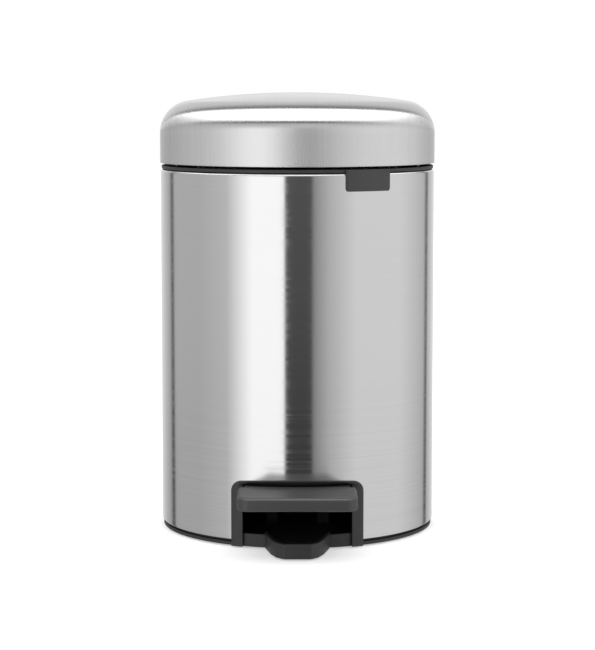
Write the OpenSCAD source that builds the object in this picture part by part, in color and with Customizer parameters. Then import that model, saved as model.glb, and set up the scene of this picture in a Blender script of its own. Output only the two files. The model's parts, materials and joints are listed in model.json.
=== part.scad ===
// Pedal bin, the smallest size of its kind: a steel body and lid, plastic base, pedal and rim,
// a lift-out bucket, and a lever and push rod that open the lid.
// Origin: the body's axis at floor level. +Z up, the pedal at -Y, the lid's hinge at +Y.

/* [Body] */
// Outer radius of the steel body
body_r = 84.8; // [84:0.2:86]
// Height of the body's top edge above the floor
body_h = 223; // [218:1:228]
// Thickness of the steel sheet
steel_t = 0.6; // [0.5:0.1:0.7]

/* [Lid] */
// Height of the lid from its lower edge to its crown
lid_h = 43.2; // [40:0.2:48]
// Radius of the lid's rounded shoulder
shoulder_r = 20; // [16:1:22]
// Rise of the crown above the shoulder
crown_rise = 4.9; // [3:0.1:6]
// Gap between the rim and the closed lid
lid_gap = 1.4; // [1:0.1:2]

/* [Pedal] */
// Width of the pedal
pedal_w = 70; // [66:1:74]
// Distance of the pedal's front edge from the body's axis
pedal_reach = 123; // [118:1:126]
// Height of the pedal's top face above the floor
pedal_top = 38.4; // [38:0.1:39]
// Height of the pedal's front face
pedal_h = 7.9; // [7:0.1:9]

/* [Pedal frame] */
// Width of the frame around the pedal opening
frame_w = 79; // [76:1:82]
// Height of the frame's top edge above the floor
frame_h = 42; // [41:0.5:44]
// Width of each leg of the frame
frame_leg = 7; // [6:0.5:8]

/* [Base] */
// Radius of the ring at the foot of the body
base_r = 84; // [83:0.2:84.4]
// Distance of the foot's tip from the body's axis
foot_reach = 114; // [108:1:116]
// Width of the foot where it leaves the body
foot_w = 39; // [34:1:42]
// Height of the foot's wall
foot_h = 9.8; // [8:0.2:10]

/* [Bucket] */
// Outer radius of the bucket under its flange
bucket_r = 72.5; // [71:0.5:72.5]
// Outer radius of the bucket's floor
bucket_floor_r = 62.5; // [58:0.5:64]
// Height of the bucket's underside above the floor
bucket_z = 38; // [38:1:44]
// Thickness of the bucket's wall
bucket_t = 1.6; // [1.2:0.1:2]

/* [Mechanism] */
// Distance of the lid's hinge axis from the body's outer face
hinge_out = 4.2; // [4:0.1:4.6]
// Length of the crank arm, from the hinge axis to the crank pin
crank_l = 12; // [11.8:0.1:12.2]
// Angle of the crank arm below the horizontal while the lid is shut, half of the lid's swing
crank_angle = 40; // [36:1:40]
// Diameter of the push rod
rod_d = 4; // [3.5:0.1:4]
// Diameter of the pedal lever's axle
axle_d = 5; // [4:0.5:5]

/* [Hidden] */
$fn = 96;

// body
body_in = body_r - steel_t;         // inner radius of the steel body
body_z = 4.6;                       // lower edge of the steel body
roll_r = 2;                         // radius of the body's rolled top edge
eps = 0.01;                         // overshoot of a cut past the face that it opens
tall = 400;                         // longer than anything here, for cuts that go right through
corner_step = 9;                    // degrees between the points of an outline's round corner
bow_step = 3;                       // width between the points of an outline's bowed edge

// rim
rim_z = body_h + 0.2;               // underside of the rim's lip
rim_top = body_h + 2.3;             // top of the rim
rim_r = body_r - 0.6;               // outer radius of the rim's lip
rim_in = 77.2;                      // inner radius of the rim's lip
rim_edge = 0.6;                     // bevel on the rim's edges
rim_skirt_r = body_r - roll_r - 0.3; // outer radius of the skirt inside the body
rim_skirt_z = body_h - 11;          // lower edge of that skirt
ledge_r = bucket_r + 1.3;           // inner radius of the ledge that holds the bucket
ledge_z = body_h - 2.2;             // top of that ledge
ledge_t = 2.2;                      // thickness of the ledge

// lid
lid_r = body_r + 0.2;               // outer radius of the lid
lid_z = rim_top + lid_gap;          // lower edge of the lid
lid_top = lid_z + lid_h;            // top of the crown
lid_in = lid_r - steel_t;           // inner radius of the lid's skirt
shoulder_x = lid_r - shoulder_r;    // radius of the shoulder arc's centre
shoulder_z = lid_top - crown_rise - shoulder_r; // height of the shoulder arc's centre
dome_to_shoulder = (shoulder_x * shoulder_x + crown_rise * crown_rise) / (2 * crown_rise);
dome_r = dome_to_shoulder + shoulder_r; // radius of the crown, tangent to the shoulder
dome_angle = asin(shoulder_x / dome_to_shoulder); // angle from the crown to the shoulder
dome_steps = 6;                     // straight steps along the crown's outline
shoulder_steps = 12;                // straight steps round the shoulder's outline
liner_t = 1.5;                      // wall of the liner ring
liner_r = lid_in - 0.05;            // outer radius of the liner ring
liner_z = lid_z + 0.7;              // lower edge of the liner ring
liner_top = lid_z + 19.3;           // upper edge of the liner ring
liner_flange_r = 79;                // inner radius of the liner's stiffening flange
liner_flange_z = lid_z + 13.5;      // underside of that flange
lid_notch_w = 26;                   // width of the opening for the hinge arm
lid_notch_top = lid_z + 11.5;       // upper edge of that opening
buffer_r = 1.6;                     // radius of a lid buffer
buffer_ring_r = 82;                 // distance of the lid buffers from the axis
buffer_sink = 1;                    // depth of a lid buffer in the rim
buffer_squash = 0.4;                // how far a buffer stands past the lid's lower edge
boss_drop = 1;                      // distance from the lid's opening up to the liner's boss
liner_skin = 1;                     // wall left outside the lid screws' holes

// base
pad_drop = 0.8;                     // height of the base's underside above the floor
ring_top = 3;                       // top of the base's outer ring and of its floor
groove_r = 82.2;                    // radius of the shadow groove under the body's edge
upstand_r = body_in - 0.1;          // outer radius of the wall that the body slips over
upstand_in = 81;                    // inner radius of that wall
upstand_top = 14;                   // top of that wall
sill_h = 8.8;                       // top of the sill in the pedal opening
sill_t = 2;                         // thickness of the sill and of the foot's wall
floor_ring_in = 70;                 // inner radius of the non-slip ring
floor_ring_out = 78;                // outer radius of the non-slip ring
floor_ring_h = 2;                   // height of the non-slip ring
foot_mid_y = 101;                   // distance of the foot's first bend from the axis
foot_mid_w = 31;                    // width of the foot there
foot_bend_y = 108;                  // distance of the foot's second bend from the axis
foot_bend_w = 26;                   // width of the foot there
foot_tip_w = 17;                    // width of the foot's flat tip
foot_root = 6;                      // how far inside the base's edge the foot starts
sill_play = 0.4;                    // how much narrower the sill is than the opening

// pedal frame
frame_r = body_r + 1.2;             // outer radius of the frame's face
frame_corner = 6.5;                 // radius of the frame's upper corners
frame_bow = 1.4;                    // rise of the frame's top edge from its corners to its middle
frame_top_bar = 3.6;                // height of the bar over the opening
frame_inset = 3.4;                  // how far the frame's plug is set in from its edge
window_w = frame_w - 2 * frame_leg; // width of the opening
window_top = frame_h - frame_top_bar; // top of the opening
window_corner = 1.5;                // radius of the opening's upper corners

// lever and pedal
axle_y = -12;                       // place of the lever's axle
axle_z = 20;                        // height of the lever's axle
post_x = 12.5;                      // inner face of a bearing post
post_w = 7;                         // thickness of a bearing post
post_l = 14;                        // length of a bearing post
post_top = axle_z + 7;              // top of a bearing post
bush_r = axle_d / 2 + 1.5;          // outer radius of an axle bush
bush_flange_r = bush_r + 1.5;       // radius of a bush's flange
bush_flange_t = 1;                  // thickness of a bush's flange
running_gap = 0.05;                 // radial clearance of a pin that turns in its bore
clip_t = 0.8;                       // thickness of an axle clip
clip_r = 4.5;                       // outer radius of an axle clip
clip_x = post_x + post_w + 0.3;     // inner face of an axle clip
clip_slot = 3.2;                    // width of the slot in an axle clip
axle_end = 0.5;                     // how far the axle stands out past a clip
lever_w = 21;                       // width of the pedal lever
lever_t = 1.5;                      // thickness of its sheet
pedal_roof = 2.4;                   // thickness of the pedal's top
lever_front_z = pedal_top - pedal_roof; // height of the lever's top under the pedal
lever_front_y = -112;               // front end of the lever
lever_bend_y = -50;                 // where the lever starts down to the axle
lever_rear_y = 81;                  // rear end of the lever
lever_knee_y = 40;                  // where the lever's rear part becomes level
lever_crest = 7;                    // height of the lever's top above its axle
lever_depth = 5;                    // depth of the lever's sides
lever_tip_depth = 4;                // depth of the lever's sides at the rear end
lever_belly = 6;                    // half-length of the level part under the axle
lever_room = 0.6;                   // room round the lever inside the pedal
pedal_corner = 6;                   // radius of the pedal's front corners in plan
pedal_wall = 2.2;                   // thickness of the pedal's skirt
pedal_z = pedal_top - pedal_h;      // underside of the pedal
pedal_gap = 0.5;                    // gap between the pedal and the frame's face
pedal_rear_y = -frame_r - pedal_gap; // rear edge of the pedal's plate
neck_w = 58;                        // width of the pedal's neck inside the opening
neck_y = 68;                        // distance of the neck's rear end from the axis
neck_drop = 0.4;                    // how far the neck's top is below the pedal's top
pedal_screw_ys = [-72, -102];       // places of the two pedal screws
pedal_screw_r = 1.3;                // radius of a pedal screw's shank
pedal_head_r = 2.4;                 // radius of a pedal screw's head
pedal_head_t = 1.5;                 // thickness of a pedal screw's head
pedal_screw_in = 1.6;               // how far a pedal screw reaches into the pedal
pedal_skin = 0.6;                   // plastic left over the pedal screws' holes
neck_lift = 1;                      // height of the neck's underside above the pedal's

// hinge, crank and push rod
hinge_y = body_r + hinge_out;       // place of the lid's hinge axis
hinge_z = body_h + 1;               // height of the lid's hinge axis
pin_r = 2;                          // radius of the hinge pin and of the crank pin
crank_y = hinge_y - crank_l * cos(crank_angle); // place of the crank pin, lid shut
crank_z = hinge_z - crank_l * sin(crank_angle); // height of the crank pin, lid shut
knuckle_r = 4;                      // radius of the lid arm's knuckle
knuckle_w = 23.4;                   // width of the lid arm's knuckle
arm_w = 23;                         // width of the lid arm's web
arm_plate_y = 77.5;                 // inner face of the arm's upright plate
arm_plate_t = 4;                    // thickness of that plate
arm_plate_z = hinge_z + 4;          // lower edge of that plate
arm_plate_top = lid_z + 20.3;       // upper edge of that plate
arm_back = 4;                       // how far the web stands behind the hinge axis
arm_front = 3.8;                    // how far the web reaches in front of the hinge axis
arm_bend_h = 7;                     // height above the hinge axis where the web leans in
arm_bend_y = 1;                     // distance behind the hinge axis where the lean ends
arm_gap = 0.5;                      // gap between the web and the lid's opening
crank_wall = 1.2;                   // wall of a crank arm round its pin
crank_pin_end = 0.3;                // how far the crank pin stands out past the crank arms
lid_screw_in = 1.2;                 // distance of the lid screws' tips from the liner's outside
lid_head_t = 1.6;                   // thickness of a lid screw's head
pin_end = 2;                        // how far the hinge pin stands out past a cheek
pin_head_r = 3.4;                   // radius of the hinge pin's head and cap
pin_head_t = 1.6;                   // thickness of the hinge pin's head
pin_head_gap = 0.1;                 // gap between a cheek and the pin's head or cap
pin_cap_t = 2;                      // thickness of the hinge pin's cap
fork_x = 5;                         // inner face of a crank arm
fork_t = 3;                         // thickness of a crank arm
lid_screw_x = 7;                    // place of each lid screw from the middle
lid_screw_z = lid_z + 15.3;         // height of the lid screws
boss_w = 24;                        // width of the liner's boss for the lid arm
cheek_x = 12.2;                     // inner face of a bracket cheek
cheek_t = 5.8;                      // thickness of a bracket cheek
cheek_r = 4.5;                      // radius of a cheek round the hinge pin
bracket_z = body_h - 33;            // lower edge of the bracket
bracket_back = hinge_y + 5;         // rear face of the bracket
bracket_wall = 3;                   // thickness of the bracket's rear wall
bracket_wall_top = hinge_z - 4.4;   // top of the rear wall, which stops the open lid
flange_w = 54;                      // width of the bracket's flange
flange_t = 2.8;                     // thickness of the bracket's flange
flange_h = 15;                      // height of the bracket's flange
bracket_screw_x = 21;               // place of each bracket screw from the middle
bracket_screw_z = bracket_z + 7.5;  // height of the bracket screws
bracket_seat_y = 84;                // seat of the bracket screws' heads
bracket_nut_y = 78.3;               // inner end of the bracket nuts
bracket_seat_r = 3.2;               // radius of the recess round a bracket screw's head
bracket_head_t = 2;                 // thickness of a bracket screw's head
nut_r = 3;                          // radius of a bracket nut to its corners
nut_t = 2.2;                        // thickness of a bracket nut
notch_w = 20;                       // width of the slot in the body and rim for the crank
notch_z = body_h - 15;              // lower edge of that slot
rod_y = crank_y - 1.41;             // place of the push rod, the middle of the crank pin's path
rod_r = rod_d / 2;
foot_cap_r = 3;                     // radius of the rod's foot
foot_cap_h = 8;                     // height of the rod's foot
rod_foot_z = axle_z + 1;            // underside of the rod's foot, just above the lever
yoke_w = 7;                         // width of the yoke
yoke_slot = 2 * pin_r + 0.8;        // height of the yoke's slot
yoke_wall = 2;                      // wall over the yoke's slot
yoke_front = rod_y - 3.2;           // open end of the yoke's slot
yoke_back = rod_y + 5.2;            // rear face of the yoke
yoke_web = 1.4;                     // web behind the yoke's slot
yoke_z = crank_z - 11;              // lower end of the yoke
yoke_grip = 6;                      // depth of the rod's socket in the yoke
foot_cap_floor = 2;                 // thickness of the rod foot's floor
guide_zs = [62, 172];               // lower faces of the two rod guides
guide_w = 16;                       // width of a rod guide
guide_h = 10;                       // height of a rod guide
guide_front = rod_y - 3.5;          // inner face of a rod guide
rivet_x = 5;                        // place of each guide rivet from the middle
rivet_r = 1.5;                      // radius of a rivet's shank
rivet_head_r = 2.8;                 // radius of a rivet's head
rivet_head_t = 0.9;                 // thickness of a rivet's head
rivet_in = 2;                       // distance of a rivet's inner end from the guide's inner face

// bucket and handle
flange_r = bucket_r + 3;            // outer radius of the bucket's flange
bucket_rim_t = 1.6;                 // thickness of the bucket's flange
bucket_rim_z = ledge_z + 0.1;       // underside of the bucket's flange
bucket_top = bucket_rim_z + bucket_rim_t; // top of the bucket
bucket_flat_y = 73.2;               // flat at the rear of the flange, clear of the crank
wire_r = 1.5;                       // radius of the handle's wire
handle_r = flange_r - wire_r;       // radius of the handle's bow
handle_z = bucket_top + wire_r + 0.2; // height of the folded handle's wire
lug_x = 70;                         // inner face of a handle lug
lug_t = 1.8;                        // thickness of a handle lug
lug_l = 6;                          // length of a handle lug
lug_h = 4.6;                        // height of a handle lug above the flange
lug_root = 2;                       // how far a lug reaches down the bucket's wall
wire_in = 1;                        // how far the handle's ends reach in past the lugs
bucket_heel = 3;                    // bevel between the bucket's floor and its wall
bucket_toe_h = 4;                   // height where the bucket's wall starts inside
bucket_toe_in = 2;                  // width of the bevel at the bucket's floor inside

// blank tag
tag_angle = 29.7;                   // middle of the tag, from the front towards +X
tag_w = 30.4;                       // width of the tag
tag_r = body_r + 0.05;              // inner radius of the tag
tag_t = 0.9;                        // thickness of the tag
tag_z = rim_top - 13;               // lower edge of the tag
tag_corner = 1.5;                   // radius of the tag's lower corners

// a ring about the body's axis
module ring(outer, inner, z0, z1) {
    translate([0, 0, z0])
        difference() {
            cylinder(r = outer, h = z1 - z0);
            translate([0, 0, -eps]) cylinder(r = inner, h = z1 - z0 + 2 * eps);
        }
}

// a box centred on X, given by its Y and Z limits
module block(width, y0, y1, z0, z1) {
    translate([-width / 2, y0, z0]) cube([width, y1 - y0, z1 - z0]);
}

// a round bar along X, centred on X
module cross_bar(r, length, y, z) {
    translate([-length / 2, y, z]) rotate([0, 90, 0]) cylinder(r = r, h = length);
}

// a round bar along +Y from y0 to y1
module rear_bar(r, x, y0, y1, z) {
    translate([x, y0, z]) rotate([-90, 0, 0]) cylinder(r = r, h = y1 - y0);
}

// an outline drawn in Y and Z, made width thick and centred on X
module side_plate(width) {
    translate([-width / 2, 0, 0])
        rotate([90, 0, 90])
            linear_extrude(height = width) children();
}

// an outline drawn in X and Z, pushed through the front wall of the body
module front_punch() {
    rotate([90, 0, 0]) linear_extrude(height = tall / 2) children();
}

// a rectangle standing on z0 with round upper corners, whose top edge bows up by bow
module arch_outline(width, z0, z1, r, bow) {
    half = width / 2 - r;
    polygon(concat(
        [[width / 2, z0]],
        [for (a = [0 : corner_step : 90]) [half + r * cos(a), z1 - bow - r + r * sin(a)]],
        [for (x = [half - bow_step : -bow_step : bow_step - half]) [x, z1 - bow * pow(x / half, 2)]],
        [for (a = [90 : corner_step : 180]) [-half + r * cos(a), z1 - bow - r + r * sin(a)]],
        [[-width / 2, z0]]));
}

// the lid's outline from its axis to its lower edge, set in by t
function lid_outline(t, z0) = concat(
    [for (i = [0 : dome_steps])
        let (a = 90 - dome_angle * i / dome_steps)
            [(dome_r - t) * cos(a), lid_top - dome_r + (dome_r - t) * sin(a)]],
    [for (i = [1 : shoulder_steps])
        let (a = (90 - dome_angle) * (1 - i / shoulder_steps))
            [shoulder_x + (shoulder_r - t) * cos(a), shoulder_z + (shoulder_r - t) * sin(a)]],
    [[lid_r - t, z0]]);

function reversed(points) = [for (i = [len(points) - 1 : -1 : 0]) points[i]];

// the foot's outline in plan, set in by t
function foot_half(t) = [[foot_w / 2 - t, -base_r + foot_root], [foot_mid_w / 2 - t, -foot_mid_y],
    [foot_bend_w / 2 - t, -foot_bend_y + t / 2], [foot_tip_w / 2 - t / 2, -foot_reach + t]];
function foot_outline(t) = concat(foot_half(t), [for (p = reversed(foot_half(t))) [-p[0], p[1]]]);

module body_shell() {
    color("silver") difference() {
        rotate_extrude($fn = 180)
            difference() {
                union() {
                    translate([body_in, body_z]) square([steel_t, body_h - roll_r - body_z]);
                    translate([body_r - roll_r, body_h - roll_r])
                        intersection() {
                            circle(r = roll_r, $fn = 48);
                            square(roll_r);
                        }
                }
                translate([body_r - roll_r, body_h - roll_r])
                    circle(r = roll_r - steel_t, $fn = 48);
            }
        front_punch() plug_outline();
        block(notch_w, 0, tall / 2, notch_z, tall);
        for (z = guide_zs, side = [-1, 1])
            rear_bar(rivet_r, side * rivet_x, guide_front, body_r + 1, z + guide_h / 2);
        for (side = [-1, 1])
            rear_bar(rivet_r, side * bracket_screw_x, guide_front, body_r + 1, bracket_screw_z);
    }
}

module top_rim() {
    color("#3c3c3e") difference() {
        rotate_extrude($fn = 180)
            polygon([[ledge_r, ledge_z - ledge_t], [ledge_r, ledge_z], [rim_in, ledge_z],
                [rim_in, rim_top - rim_edge], [rim_in + rim_edge, rim_top],
                [rim_r - rim_edge, rim_top], [rim_r, rim_top - rim_edge], [rim_r, rim_z],
                [rim_skirt_r, rim_z], [rim_skirt_r, rim_skirt_z],
                [rim_skirt_r - liner_t, rim_skirt_z], [rim_skirt_r - liner_t, ledge_z - ledge_t]]);
        block(notch_w, 0, tall / 2, notch_z, tall);
        buffer_places() cylinder(r = buffer_r, h = buffer_sink + eps);
    }
}

module buffer_places() {
    for (a = [45 : 90 : 315])
        rotate(a) translate([buffer_ring_r, 0, rim_top - buffer_sink]) children();
}

module lid_buffers() {
    color("dimgray") buffer_places()
        cylinder(r = buffer_r, h = buffer_sink + lid_gap + buffer_squash, $fn = 32);
}

module name_tag() {
    color("#404042") rotate(tag_angle) {
        intersection() {
            ring(tag_r + tag_t, tag_r, tag_z, rim_top - 1);
            front_punch() translate([0, tag_z + rim_top - 0.5])
                mirror([0, 1]) arch_outline(tag_w, 0.5, rim_top - 0.5, tag_corner, 0);
        }
        intersection() {
            ring(tag_r + tag_t, rim_r, rim_z + 0.1, rim_top - 0.2);
            block(tag_w, -tall / 2, 0, 0, tall);
        }
    }
}

module base() {
    color("#39393b") difference() {
        union() {
            translate([0, 0, pad_drop]) cylinder(r = base_r, h = ring_top - pad_drop, $fn = 180);
            difference() {
                union() {
                    ring(groove_r, upstand_in, ring_top - eps, upstand_top);
                    ring(upstand_r, upstand_in, body_z, upstand_top);
                }
                front_punch() translate([-frame_w / 2, ring_top]) square([frame_w, tall / 4]);
            }
            intersection() {
                ring(base_r, base_r - sill_t, ring_top - eps, sill_h);
                block(window_w - sill_play, -tall / 2, 0, 0, tall);
            }
            foot();
            for (side = [-1, 1])
                translate([side * (post_x + post_w / 2), 0, 0])
                    block(post_w, axle_y - post_l / 2, axle_y + post_l / 2, ring_top - eps, post_top);
        }
        ring(floor_ring_out, floor_ring_in, 0, floor_ring_h);
        cross_bar(bush_r, 2 * (post_x + post_w) + 1, axle_y, axle_z);
        translate([0, 0, ring_top])
            linear_extrude(height = tall) polygon(foot_outline(sill_t));
    }
}

module foot() {
    translate([0, 0, pad_drop])
        linear_extrude(height = foot_h - pad_drop) polygon(foot_outline(0));
}

module floor_ring() {
    color("#222222") ring(floor_ring_out, floor_ring_in, 0, floor_ring_h);
}

module pedal_frame() {
    color("#3c3c3e") difference() {
        union() {
            intersection() {
                ring(frame_r, body_r, pad_drop, frame_h);
                front_punch() arch_outline(frame_w, 0, frame_h, frame_corner, frame_bow);
            }
            intersection() {
                ring(body_r + eps, groove_r, ring_top, frame_h);
                front_punch() plug_outline();
            }
        }
        front_punch() arch_outline(window_w, 0, window_top, window_corner, 0);
    }
}

// the part of the frame that fills the opening in the body
module plug_outline() {
    arch_outline(frame_w - 2 * frame_inset, 0, frame_h - frame_inset / 2,
        frame_corner - frame_inset / 2, frame_bow);
}

module axle_bushes() {
    color("white") for (side = [-1, 1])
        translate([side * post_x, axle_y, axle_z]) rotate([0, side * 90, 0])
            difference() {
                union() {
                    cylinder(r = bush_r, h = post_w);
                    translate([0, 0, -bush_flange_t]) cylinder(r = bush_flange_r, h = bush_flange_t);
                }
                translate([0, 0, -tall / 2]) cylinder(r = axle_d / 2 + running_gap, h = tall);
            }
}

module rod_guides() {
    color("#2c2c2e") for (z = guide_zs)
        difference() {
            intersection() {
                block(guide_w, guide_front, body_r, z, z + guide_h);
                cylinder(r = body_in, h = tall, $fn = 180);
            }
            translate([0, rod_y, 0]) cylinder(r = rod_r + running_gap, h = tall);
            for (side = [-1, 1])
                rear_bar(rivet_r, side * rivet_x, 0, tall, z + guide_h / 2);
        }
}

module guide_rivets() {
    color("silver") for (z = guide_zs, side = [-1, 1]) {
        rear_bar(rivet_r, side * rivet_x, guide_front + rivet_in, body_r, z + guide_h / 2);
        rear_bar(rivet_head_r, side * rivet_x, body_r, body_r + rivet_head_t, z + guide_h / 2);
    }
}

module hinge_bracket() {
    color("#3c3c3e") difference() {
        union() {
            intersection() {
                ring(body_r + flange_t, body_r, bracket_z, bracket_z + flange_h);
                block(flange_w, 0, tall / 2, 0, tall);
            }
            difference() {
                block(2 * (cheek_x + cheek_t), rod_y, bracket_back, bracket_z + flange_h / 2,
                    hinge_z);
                block(2 * cheek_x, 0, tall / 2, bracket_wall_top, tall);
                block(2 * cheek_x, 0, bracket_back - bracket_wall,
                    bracket_z + flange_h / 2 + bracket_wall, tall);
                block(tall, hinge_y + cheek_r, tall, bracket_wall_top, tall);
                cylinder(r = body_r, h = tall, $fn = 180);
            }
            for (side = [-1, 1])
                translate([side * (cheek_x + cheek_t / 2), 0, 0])
                    cross_bar(cheek_r, cheek_t, hinge_y, hinge_z);
        }
        cross_bar(pin_r, tall, hinge_y, hinge_z);
        for (side = [-1, 1]) {
            rear_bar(rivet_r, side * bracket_screw_x, 0, tall, bracket_screw_z);
            rear_bar(bracket_seat_r, side * bracket_screw_x, bracket_seat_y, tall, bracket_screw_z);
        }
    }
}

module bracket_screws() {
    color("silver") for (side = [-1, 1]) {
        rear_bar(rivet_r, side * bracket_screw_x, bracket_nut_y, bracket_seat_y, bracket_screw_z);
        rear_bar(rivet_head_r, side * bracket_screw_x, bracket_seat_y,
            bracket_seat_y + bracket_head_t, bracket_screw_z);
    }
}

module bracket_nuts() {
    color("silver") for (side = [-1, 1])
        difference() {
            translate([side * bracket_screw_x, bracket_nut_y, bracket_screw_z])
                rotate([-90, 0, 0]) cylinder(r = nut_r, h = nut_t, $fn = 6);
            rear_bar(rivet_r, side * bracket_screw_x, 0, tall, bracket_screw_z);
        }
}

module hinge_pin() {
    color("silver") {
        cross_bar(pin_r, 2 * (cheek_x + cheek_t + pin_end), hinge_y, hinge_z);
        translate([-cheek_x - cheek_t - pin_head_gap - pin_head_t / 2, 0, 0])
            cross_bar(pin_head_r, pin_head_t, hinge_y, hinge_z);
    }
}

module pin_cap() {
    color("#2c2c2e") difference() {
        translate([cheek_x + cheek_t + pin_head_gap + pin_cap_t / 2, 0, 0])
            cross_bar(pin_head_r, pin_cap_t, hinge_y, hinge_z);
        cross_bar(pin_r, tall, hinge_y, hinge_z);
    }
}

module lid_shell() {
    color("silver") difference() {
        rotate_extrude($fn = 180)
            polygon(concat(lid_outline(0, lid_z), reversed(lid_outline(steel_t, lid_z))));
        block(lid_notch_w, 0, tall / 2, 0, lid_notch_top);
    }
}

module lid_liner() {
    color("#39393b") difference() {
        union() {
            ring(liner_r, liner_r - liner_t, liner_z, liner_top);
            ring(liner_r - eps, liner_flange_r, liner_flange_z, liner_flange_z + liner_t);
            intersection() {
                block(boss_w, arm_plate_y + arm_plate_t, lid_r, lid_notch_top + boss_drop, liner_top);
                cylinder(r = liner_r - eps, h = tall, $fn = 180);
            }
        }
        block(lid_notch_w, 0, tall / 2, 0, lid_notch_top);
        block(lid_notch_w, 0, arm_plate_y + arm_plate_t, 0, tall);
        for (side = [-1, 1])
            rear_bar(rivet_r, side * lid_screw_x, 0, liner_r - liner_skin, lid_screw_z);
    }
}

module lid_arm() {
    arm_top = lid_notch_top - arm_gap;
    color("#2c2c2e") difference() {
        union() {
            cross_bar(knuckle_r, knuckle_w, hinge_y, hinge_z);
            side_plate(arm_w)
                polygon([[hinge_y - arm_front, hinge_z], [hinge_y + arm_back, hinge_z],
                    [hinge_y + arm_back, hinge_z + arm_bend_h], [hinge_y + arm_bend_y, arm_top],
                    [arm_plate_y + arm_plate_t, arm_top], [arm_plate_y + arm_plate_t, arm_plate_top],
                    [arm_plate_y, arm_plate_top], [arm_plate_y, arm_plate_z],
                    [hinge_y - arm_front, arm_plate_z]]);
            for (side = [-1, 1])
                translate([side * (fork_x + fork_t / 2), 0, 0])
                    side_plate(fork_t) crank_outline();
        }
        cross_bar(pin_r + running_gap, tall, hinge_y, hinge_z);
        cross_bar(pin_r, tall, crank_y, crank_z);
        for (side = [-1, 1])
            rear_bar(rivet_r, side * lid_screw_x, 0, tall, lid_screw_z);
    }
}

// a crank arm seen from the side: a bar from the hinge axis to the crank pin, round at its tip
module crank_outline() {
    tip_r = pin_r + crank_wall;
    translate([hinge_y, hinge_z]) rotate(180 + crank_angle) {
        translate([0, -tip_r]) square([crank_l, 2 * tip_r]);
        translate([crank_l, 0]) circle(r = tip_r);
    }
}

module lid_screws() {
    color("silver") for (side = [-1, 1]) {
        rear_bar(rivet_r, side * lid_screw_x, arm_plate_y, liner_r - lid_screw_in, lid_screw_z);
        rear_bar(rivet_head_r, side * lid_screw_x, arm_plate_y - lid_head_t, arm_plate_y, lid_screw_z);
    }
}

module crank_pin() {
    color("silver") cross_bar(pin_r, 2 * (fork_x + fork_t + crank_pin_end), crank_y, crank_z);
}

// the pedal in plan: straight sides and round front corners, set in by t
module pedal_outline(t) {
    half = pedal_w / 2 - t;
    front = -pedal_reach + t;
    r = pedal_corner - t;
    union() {
        translate([-half, front + r]) square([2 * half, pedal_rear_y - front - r - t]);
        translate([-half + r, front]) square([2 * (half - r), 2 * r]);
        for (side = [-1, 1])
            translate([side * (half - r), front + r]) circle(r = r);
    }
}

module pedal_pad() {
    color("#4a4a4c") difference() {
        union() {
            translate([0, 0, pedal_z]) linear_extrude(height = pedal_h) pedal_outline(0);
            block(neck_w, pedal_rear_y - eps, -neck_y, pedal_z + neck_lift, pedal_top - neck_drop);
        }
        translate([0, 0, -eps]) linear_extrude(height = lever_front_z) pedal_outline(pedal_wall);
        block(lever_w + lever_room, lever_front_y - lever_room, 0, 0, lever_front_z);
        for (y = pedal_screw_ys)
            translate([0, y, 0]) cylinder(r = pedal_screw_r, h = pedal_top - pedal_skin, $fn = 32);
    }
}

// the lever seen from the side
module lever_outline() {
    axle_top = axle_z + lever_crest;
    polygon([[lever_front_y, lever_front_z], [lever_bend_y, lever_front_z],
        [axle_y, axle_top], [lever_knee_y, axle_z], [lever_rear_y, axle_z],
        [lever_rear_y, axle_z - lever_tip_depth], [lever_knee_y, axle_z - lever_depth],
        [axle_y + lever_belly, axle_z - lever_depth], [axle_y - lever_belly, axle_z - lever_depth],
        [lever_bend_y, lever_front_z - lever_depth], [lever_front_y, lever_front_z - lever_depth]]);
}

module pedal_lever() {
    color("silver") difference() {
        side_plate(lever_w) lever_outline();
        side_plate(lever_w - 2 * lever_t) translate([0, -lever_t]) lever_open_outline();
        cross_bar(axle_d / 2, tall, axle_y, axle_z);
        for (y = pedal_screw_ys)
            translate([0, y, 0]) cylinder(r = pedal_screw_r, h = tall, $fn = 32);
    }
}

// everything under the lever's top line, to hollow it out from below
module lever_open_outline() {
    polygon([[lever_front_y - 1, lever_front_z], [lever_bend_y, lever_front_z],
        [axle_y, axle_z + lever_crest], [lever_knee_y, axle_z], [lever_rear_y + 1, axle_z],
        [lever_rear_y + 1, 0], [lever_front_y - 1, 0]]);
}

module pedal_screws() {
    color("silver") for (y = pedal_screw_ys)
        translate([0, y, 0]) {
            translate([0, 0, lever_front_z - lever_t - pedal_head_t])
                cylinder(r = pedal_head_r, h = pedal_head_t, $fn = 32);
            translate([0, 0, lever_front_z - lever_t - eps])
                cylinder(r = pedal_screw_r, h = lever_t + pedal_screw_in, $fn = 32);
        }
}

module lever_axle() {
    color("silver") cross_bar(axle_d / 2, 2 * (clip_x + clip_t + axle_end), axle_y, axle_z);
}

module axle_clips() {
    color("dimgray") for (side = [-1, 1])
        difference() {
            translate([side * (clip_x + clip_t / 2), 0, 0]) cross_bar(clip_r, clip_t, axle_y, axle_z);
            cross_bar(axle_d / 2, tall, axle_y, axle_z);
            block(tall, axle_y - clip_slot / 2, axle_y + clip_slot / 2, 0, axle_z);
        }
}

module push_rod() {
    rod_z = rod_foot_z + foot_cap_floor;
    color("silver") translate([0, rod_y, rod_z]) cylinder(r = rod_r, h = yoke_z + yoke_grip - rod_z);
}

module rod_foot() {
    color("#2c2c2e") translate([0, rod_y, rod_foot_z])
        difference() {
            cylinder(r = foot_cap_r, h = foot_cap_h);
            translate([0, 0, foot_cap_floor]) cylinder(r = rod_r, h = foot_cap_h);
        }
}

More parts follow.
